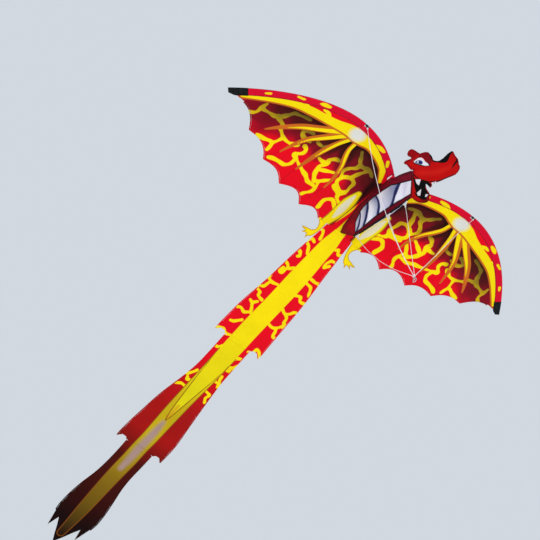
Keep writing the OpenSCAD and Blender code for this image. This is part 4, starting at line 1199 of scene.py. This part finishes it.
# The lines' points, as in part.scad. A script worked them out from each line's ends and bow, in mm.
BRIDLE = {
    "front": [(0, 9, 403), (0, 9, 375), (0, 9, 345), (0, 8, 315), (0, 8, 285), (0, 7, 255), (0, 6, 225), (0, 6, 195),
              (0, 5, 165), (0, 4, 135), (0, 4, 105), (0, 3, 75), (0, 3, 48), (0, 3, 23)],
    "middle": [(0, -67, 411), (0, -65, 380), (0, -61, 350), (0, -57, 320), (0, -53, 290), (0, -48, 260),
               (0, -43, 230), (0, -38, 200), (0, -32, 170), (0, -26, 140), (0, -20, 110), (0, -14, 80), (0, -7, 50),
               (0, 0, 23)],
    "rear": [(0, -211, 433), (0, -201, 400), (0, -191, 370), (0, -180, 340), (0, -168, 310), (0, -155, 280),
             (0, -141, 250), (0, -127, 220), (0, -111, 190), (0, -94, 160), (0, -76, 130), (0, -57, 100),
             (0, -36, 70), (0, -18, 45), (0, -3, 23)],
    "right": [(273, 96, 501), (255, 82, 470), (235, 68, 435), (215, 55, 400), (195, 44, 365), (175, 34, 330),
              (156, 25, 295), (137, 18, 260), (117, 11, 225), (98, 6, 190), (78, 2, 155), (58, 0, 120), (38, -1, 85),
              (18, 0, 50), (3, 0, 23)],
    "left": [(-273, 96, 501), (-255, 89, 470), (-235, 81, 435), (-215, 74, 400), (-195, 66, 365), (-175, 59, 330),
             (-156, 52, 295), (-137, 44, 260), (-117, 38, 225), (-98, 31, 190), (-78, 24, 155), (-58, 18, 120),
             (-38, 11, 85), (-18, 5, 50), (-3, 0, 23)]}


def wrapped_knot(name, place, way, radius, turns, body, nodes=(), loop=None):
    """A lashing of line wound round the place, with the loop that holds the eye when one is given."""
    r = sizes().line_diameter / 2
    turn = Vector((0, 0, 1)).rotation_difference(Vector(way).normalized()).to_matrix()
    coil = [Vector(place) + turn @ Vector((radius * math.cos(a), radius * math.sin(a), r * 1.9 * a / math.tau))
            for a in (math.tau * k / 14 for k in range(int(14 * turns) + 1))]
    bm, uv, _ = tube(coil, r * 0.96, 8)
    if loop:
        middle, size = loop
        ring = [Vector(middle) + Vector((size * math.cos(a), 0, size * math.sin(a)))
                for a in (math.tau * k / 20 for k in range(21))]
        second = tube(ring, r * 0.96, 8)
        mesh = bpy.data.meshes.new("loop")
        second[0].to_mesh(mesh)
        second[0].free()
        bm.from_mesh(mesh)
        bpy.data.meshes.remove(mesh)
        uv = np.vstack([uv, second[1]])
    return finish_piece(name, bm, body, finish("line"), nodes, uv=uv)


class KITE_OT_bridle(bpy.types.Operator):
    """Make the five bridle lines, which run taut from the keel tabs and wing clips to the tow ring's knot."""
    bl_idname = "kite.bridle"
    bl_label = "Bridle"

    def execute(self, context):
        ring_knot = wrapped_knot("ring_knot", (0, 0, 0.0168), (0, 0, 1), 0.0036, 3.2, "kite_body", ["bridle_knot"],
                                 loop=((0, 0, 0.0132), 0.00266))
        for name, points in BRIDLE.items():
            path = [Vector(p) * MM for p in points]
            bm, uv, _ = tube(path, sizes().line_diameter / 2)
            wing = name in SIDES
            line = finish_piece(name + "_bridle_line", bm, None if wing else "kite_body",
                                finish("line"), [name + "_bridle_leg"], uv=uv)
            if wing:
                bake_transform(line)
            clip = name + "_wing" if wing else "kite_body"
            knot = wrapped_knot(name + "_lashing", path[0] - (path[0] - path[1]).normalized() * 0.001,
                                path[1] - path[0], 0.0019, 3, clip)
        return {"FINISHED"}


# ---------------------------------------------------------------- fittings

class KITE_OT_fittings(bpy.types.Operator):
    """Give the rods, moulded fittings, webbing and ring their finishes."""
    bl_idname = "kite.fittings"
    bl_label = "Fittings"

    def execute(self, context):
        looks = {"carbon": ["spine_rod", "neck_stay", "right_wing_spar", "left_wing_spar"],
                 "nylon": ["spine_end_cap", "nose_connector", "right_spar_socket", "left_spar_socket",
                           "right_spar_tip", "left_spar_tip", "right_bridle_clip", "left_bridle_clip"],
                 "tab": ["front_keel_tab", "middle_keel_tab", "rear_keel_tab"],
                 "steel": ["tow_ring"]}
        for look, names in looks.items():
            for name in names:
                node = bpy.data.objects[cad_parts[name].name]
                node.data.materials.clear()
                node.data.materials.append(finish(look))
        return {"FINISHED"}


# ---------------------------------------------------------------- stage

# Place, directions and lens are the result of a script that fitted the camera.
CAMERA_AT = (2.425, 1.700, -3.721)
CAMERA_RIGHT = (-0.7106, 0.7034, -0.0175)
CAMERA_DOWN = (-0.5497, -0.5705, -0.6102)
FLOOR_Z = -5.0


def area_light(name, place, size, power):
    light = bpy.data.lights.new(name, "AREA")
    light.shape = "DISK"
    light.size = size
    light.energy = power
    lamp = bpy.data.objects.new(name, light)
    bpy.context.collection.objects.link(lamp)
    lamp.location = place
    aim = Vector((0, -0.6, 0.45)) - Vector(place)
    lamp.rotation_euler = aim.to_track_quat("-Z", "Y").to_euler()


class KITE_OT_stage(bpy.types.Operator):
    """Set the camera, the soft lights, the pale floor and the surroundings."""
    bl_idname = "kite.stage"
    bl_label = "Camera, lights and floor"

    def execute(self, context):
        scene = context.scene
        right, down = Vector(CAMERA_RIGHT).normalized(), Vector(CAMERA_DOWN)
        down = (down - down.dot(right) * right).normalized()
        forward = right.cross(down)
        data = bpy.data.cameras.new("Camera")
        data.sensor_width = 36.0
        data.lens = 98.67
        data.clip_end = 200.0
        camera = bpy.data.objects.new("Camera", data)
        scene.collection.objects.link(camera)
        turn = Matrix((right, -down, -forward)).transposed().to_4x4()
        camera.matrix_world = Matrix.Translation(CAMERA_AT) @ turn
        scene.camera = camera
        scene.view_settings.view_transform = "Standard"

        area_light("Key light", (2.0, 2.6, -4.0), 3.0, 150)
        area_light("Fill light", (-3.5, 0.5, -3.4), 4.0, 45)
        area_light("Top light", (0.5, -2.5, 5.0), 4.0, 130)

        world = bpy.data.worlds.new("Pale studio")
        world.use_nodes = True
        scene.world = world
        background = world.node_tree.nodes["Background"]
        background.inputs["Color"].default_value = (0.80, 0.86, 0.93, 1)
        background.inputs["Strength"].default_value = 0.8

        bm = bmesh.new()
        bmesh.ops.create_grid(bm, x_segments=2, y_segments=2, size=60.0,
                              matrix=Matrix.Translation((0, 0, FLOOR_Z)))
        mesh = bpy.data.meshes.new("Floor")
        bm.to_mesh(mesh)
        bm.free()
        floor = bpy.data.objects.new("Floor", mesh)
        scene.collection.objects.link(floor)
        material, _, shader = new_material("pale matt floor", roughness=0.9)
        shader.inputs["Base Color"].default_value = (0.8, 0.81, 0.82, 1)
        mesh.materials.append(material)
        return {"FINISHED"}


# ---------------------------------------------------------------- add-on

class KITE_PT_panel(bpy.types.Panel):
    """Lists the kite's parts in the order that they are made."""
    bl_label = "Dragon Kite"
    bl_idname = "KITE_PT_panel"
    bl_space_type = "VIEW_3D"
    bl_region_type = "UI"
    bl_category = "Kite"

    def draw(self, context):
        for step in STEPS:
            self.layout.operator(step.bl_idname)
        for group in (context.scene.kite_sizes, context.scene.kite_colours):
            for name in group.bl_rna.properties.keys():
                if name not in ("rna_type", "name"):
                    self.layout.prop(group, name)


STEPS = (KITE_OT_stage, KITE_OT_bridle, KITE_OT_wings, KITE_OT_body, KITE_OT_head, KITE_OT_tail, KITE_OT_fittings)
CLASSES = (KiteSizes, KiteColours, *STEPS, KITE_PT_panel)


def register():
    for item in CLASSES:
        bpy.utils.register_class(item)
    bpy.types.Scene.kite_sizes = PointerProperty(type=KiteSizes)
    bpy.types.Scene.kite_colours = PointerProperty(type=KiteColours)


def unregister():
    del bpy.types.Scene.kite_sizes
    del bpy.types.Scene.kite_colours
    for item in reversed(CLASSES):
        bpy.utils.unregister_class(item)


def main():
    register()
    for step in STEPS:
        group, name = step.bl_idname.split(".")
        getattr(getattr(bpy.ops, group), name)()


if __name__ == "__main__":
    main()
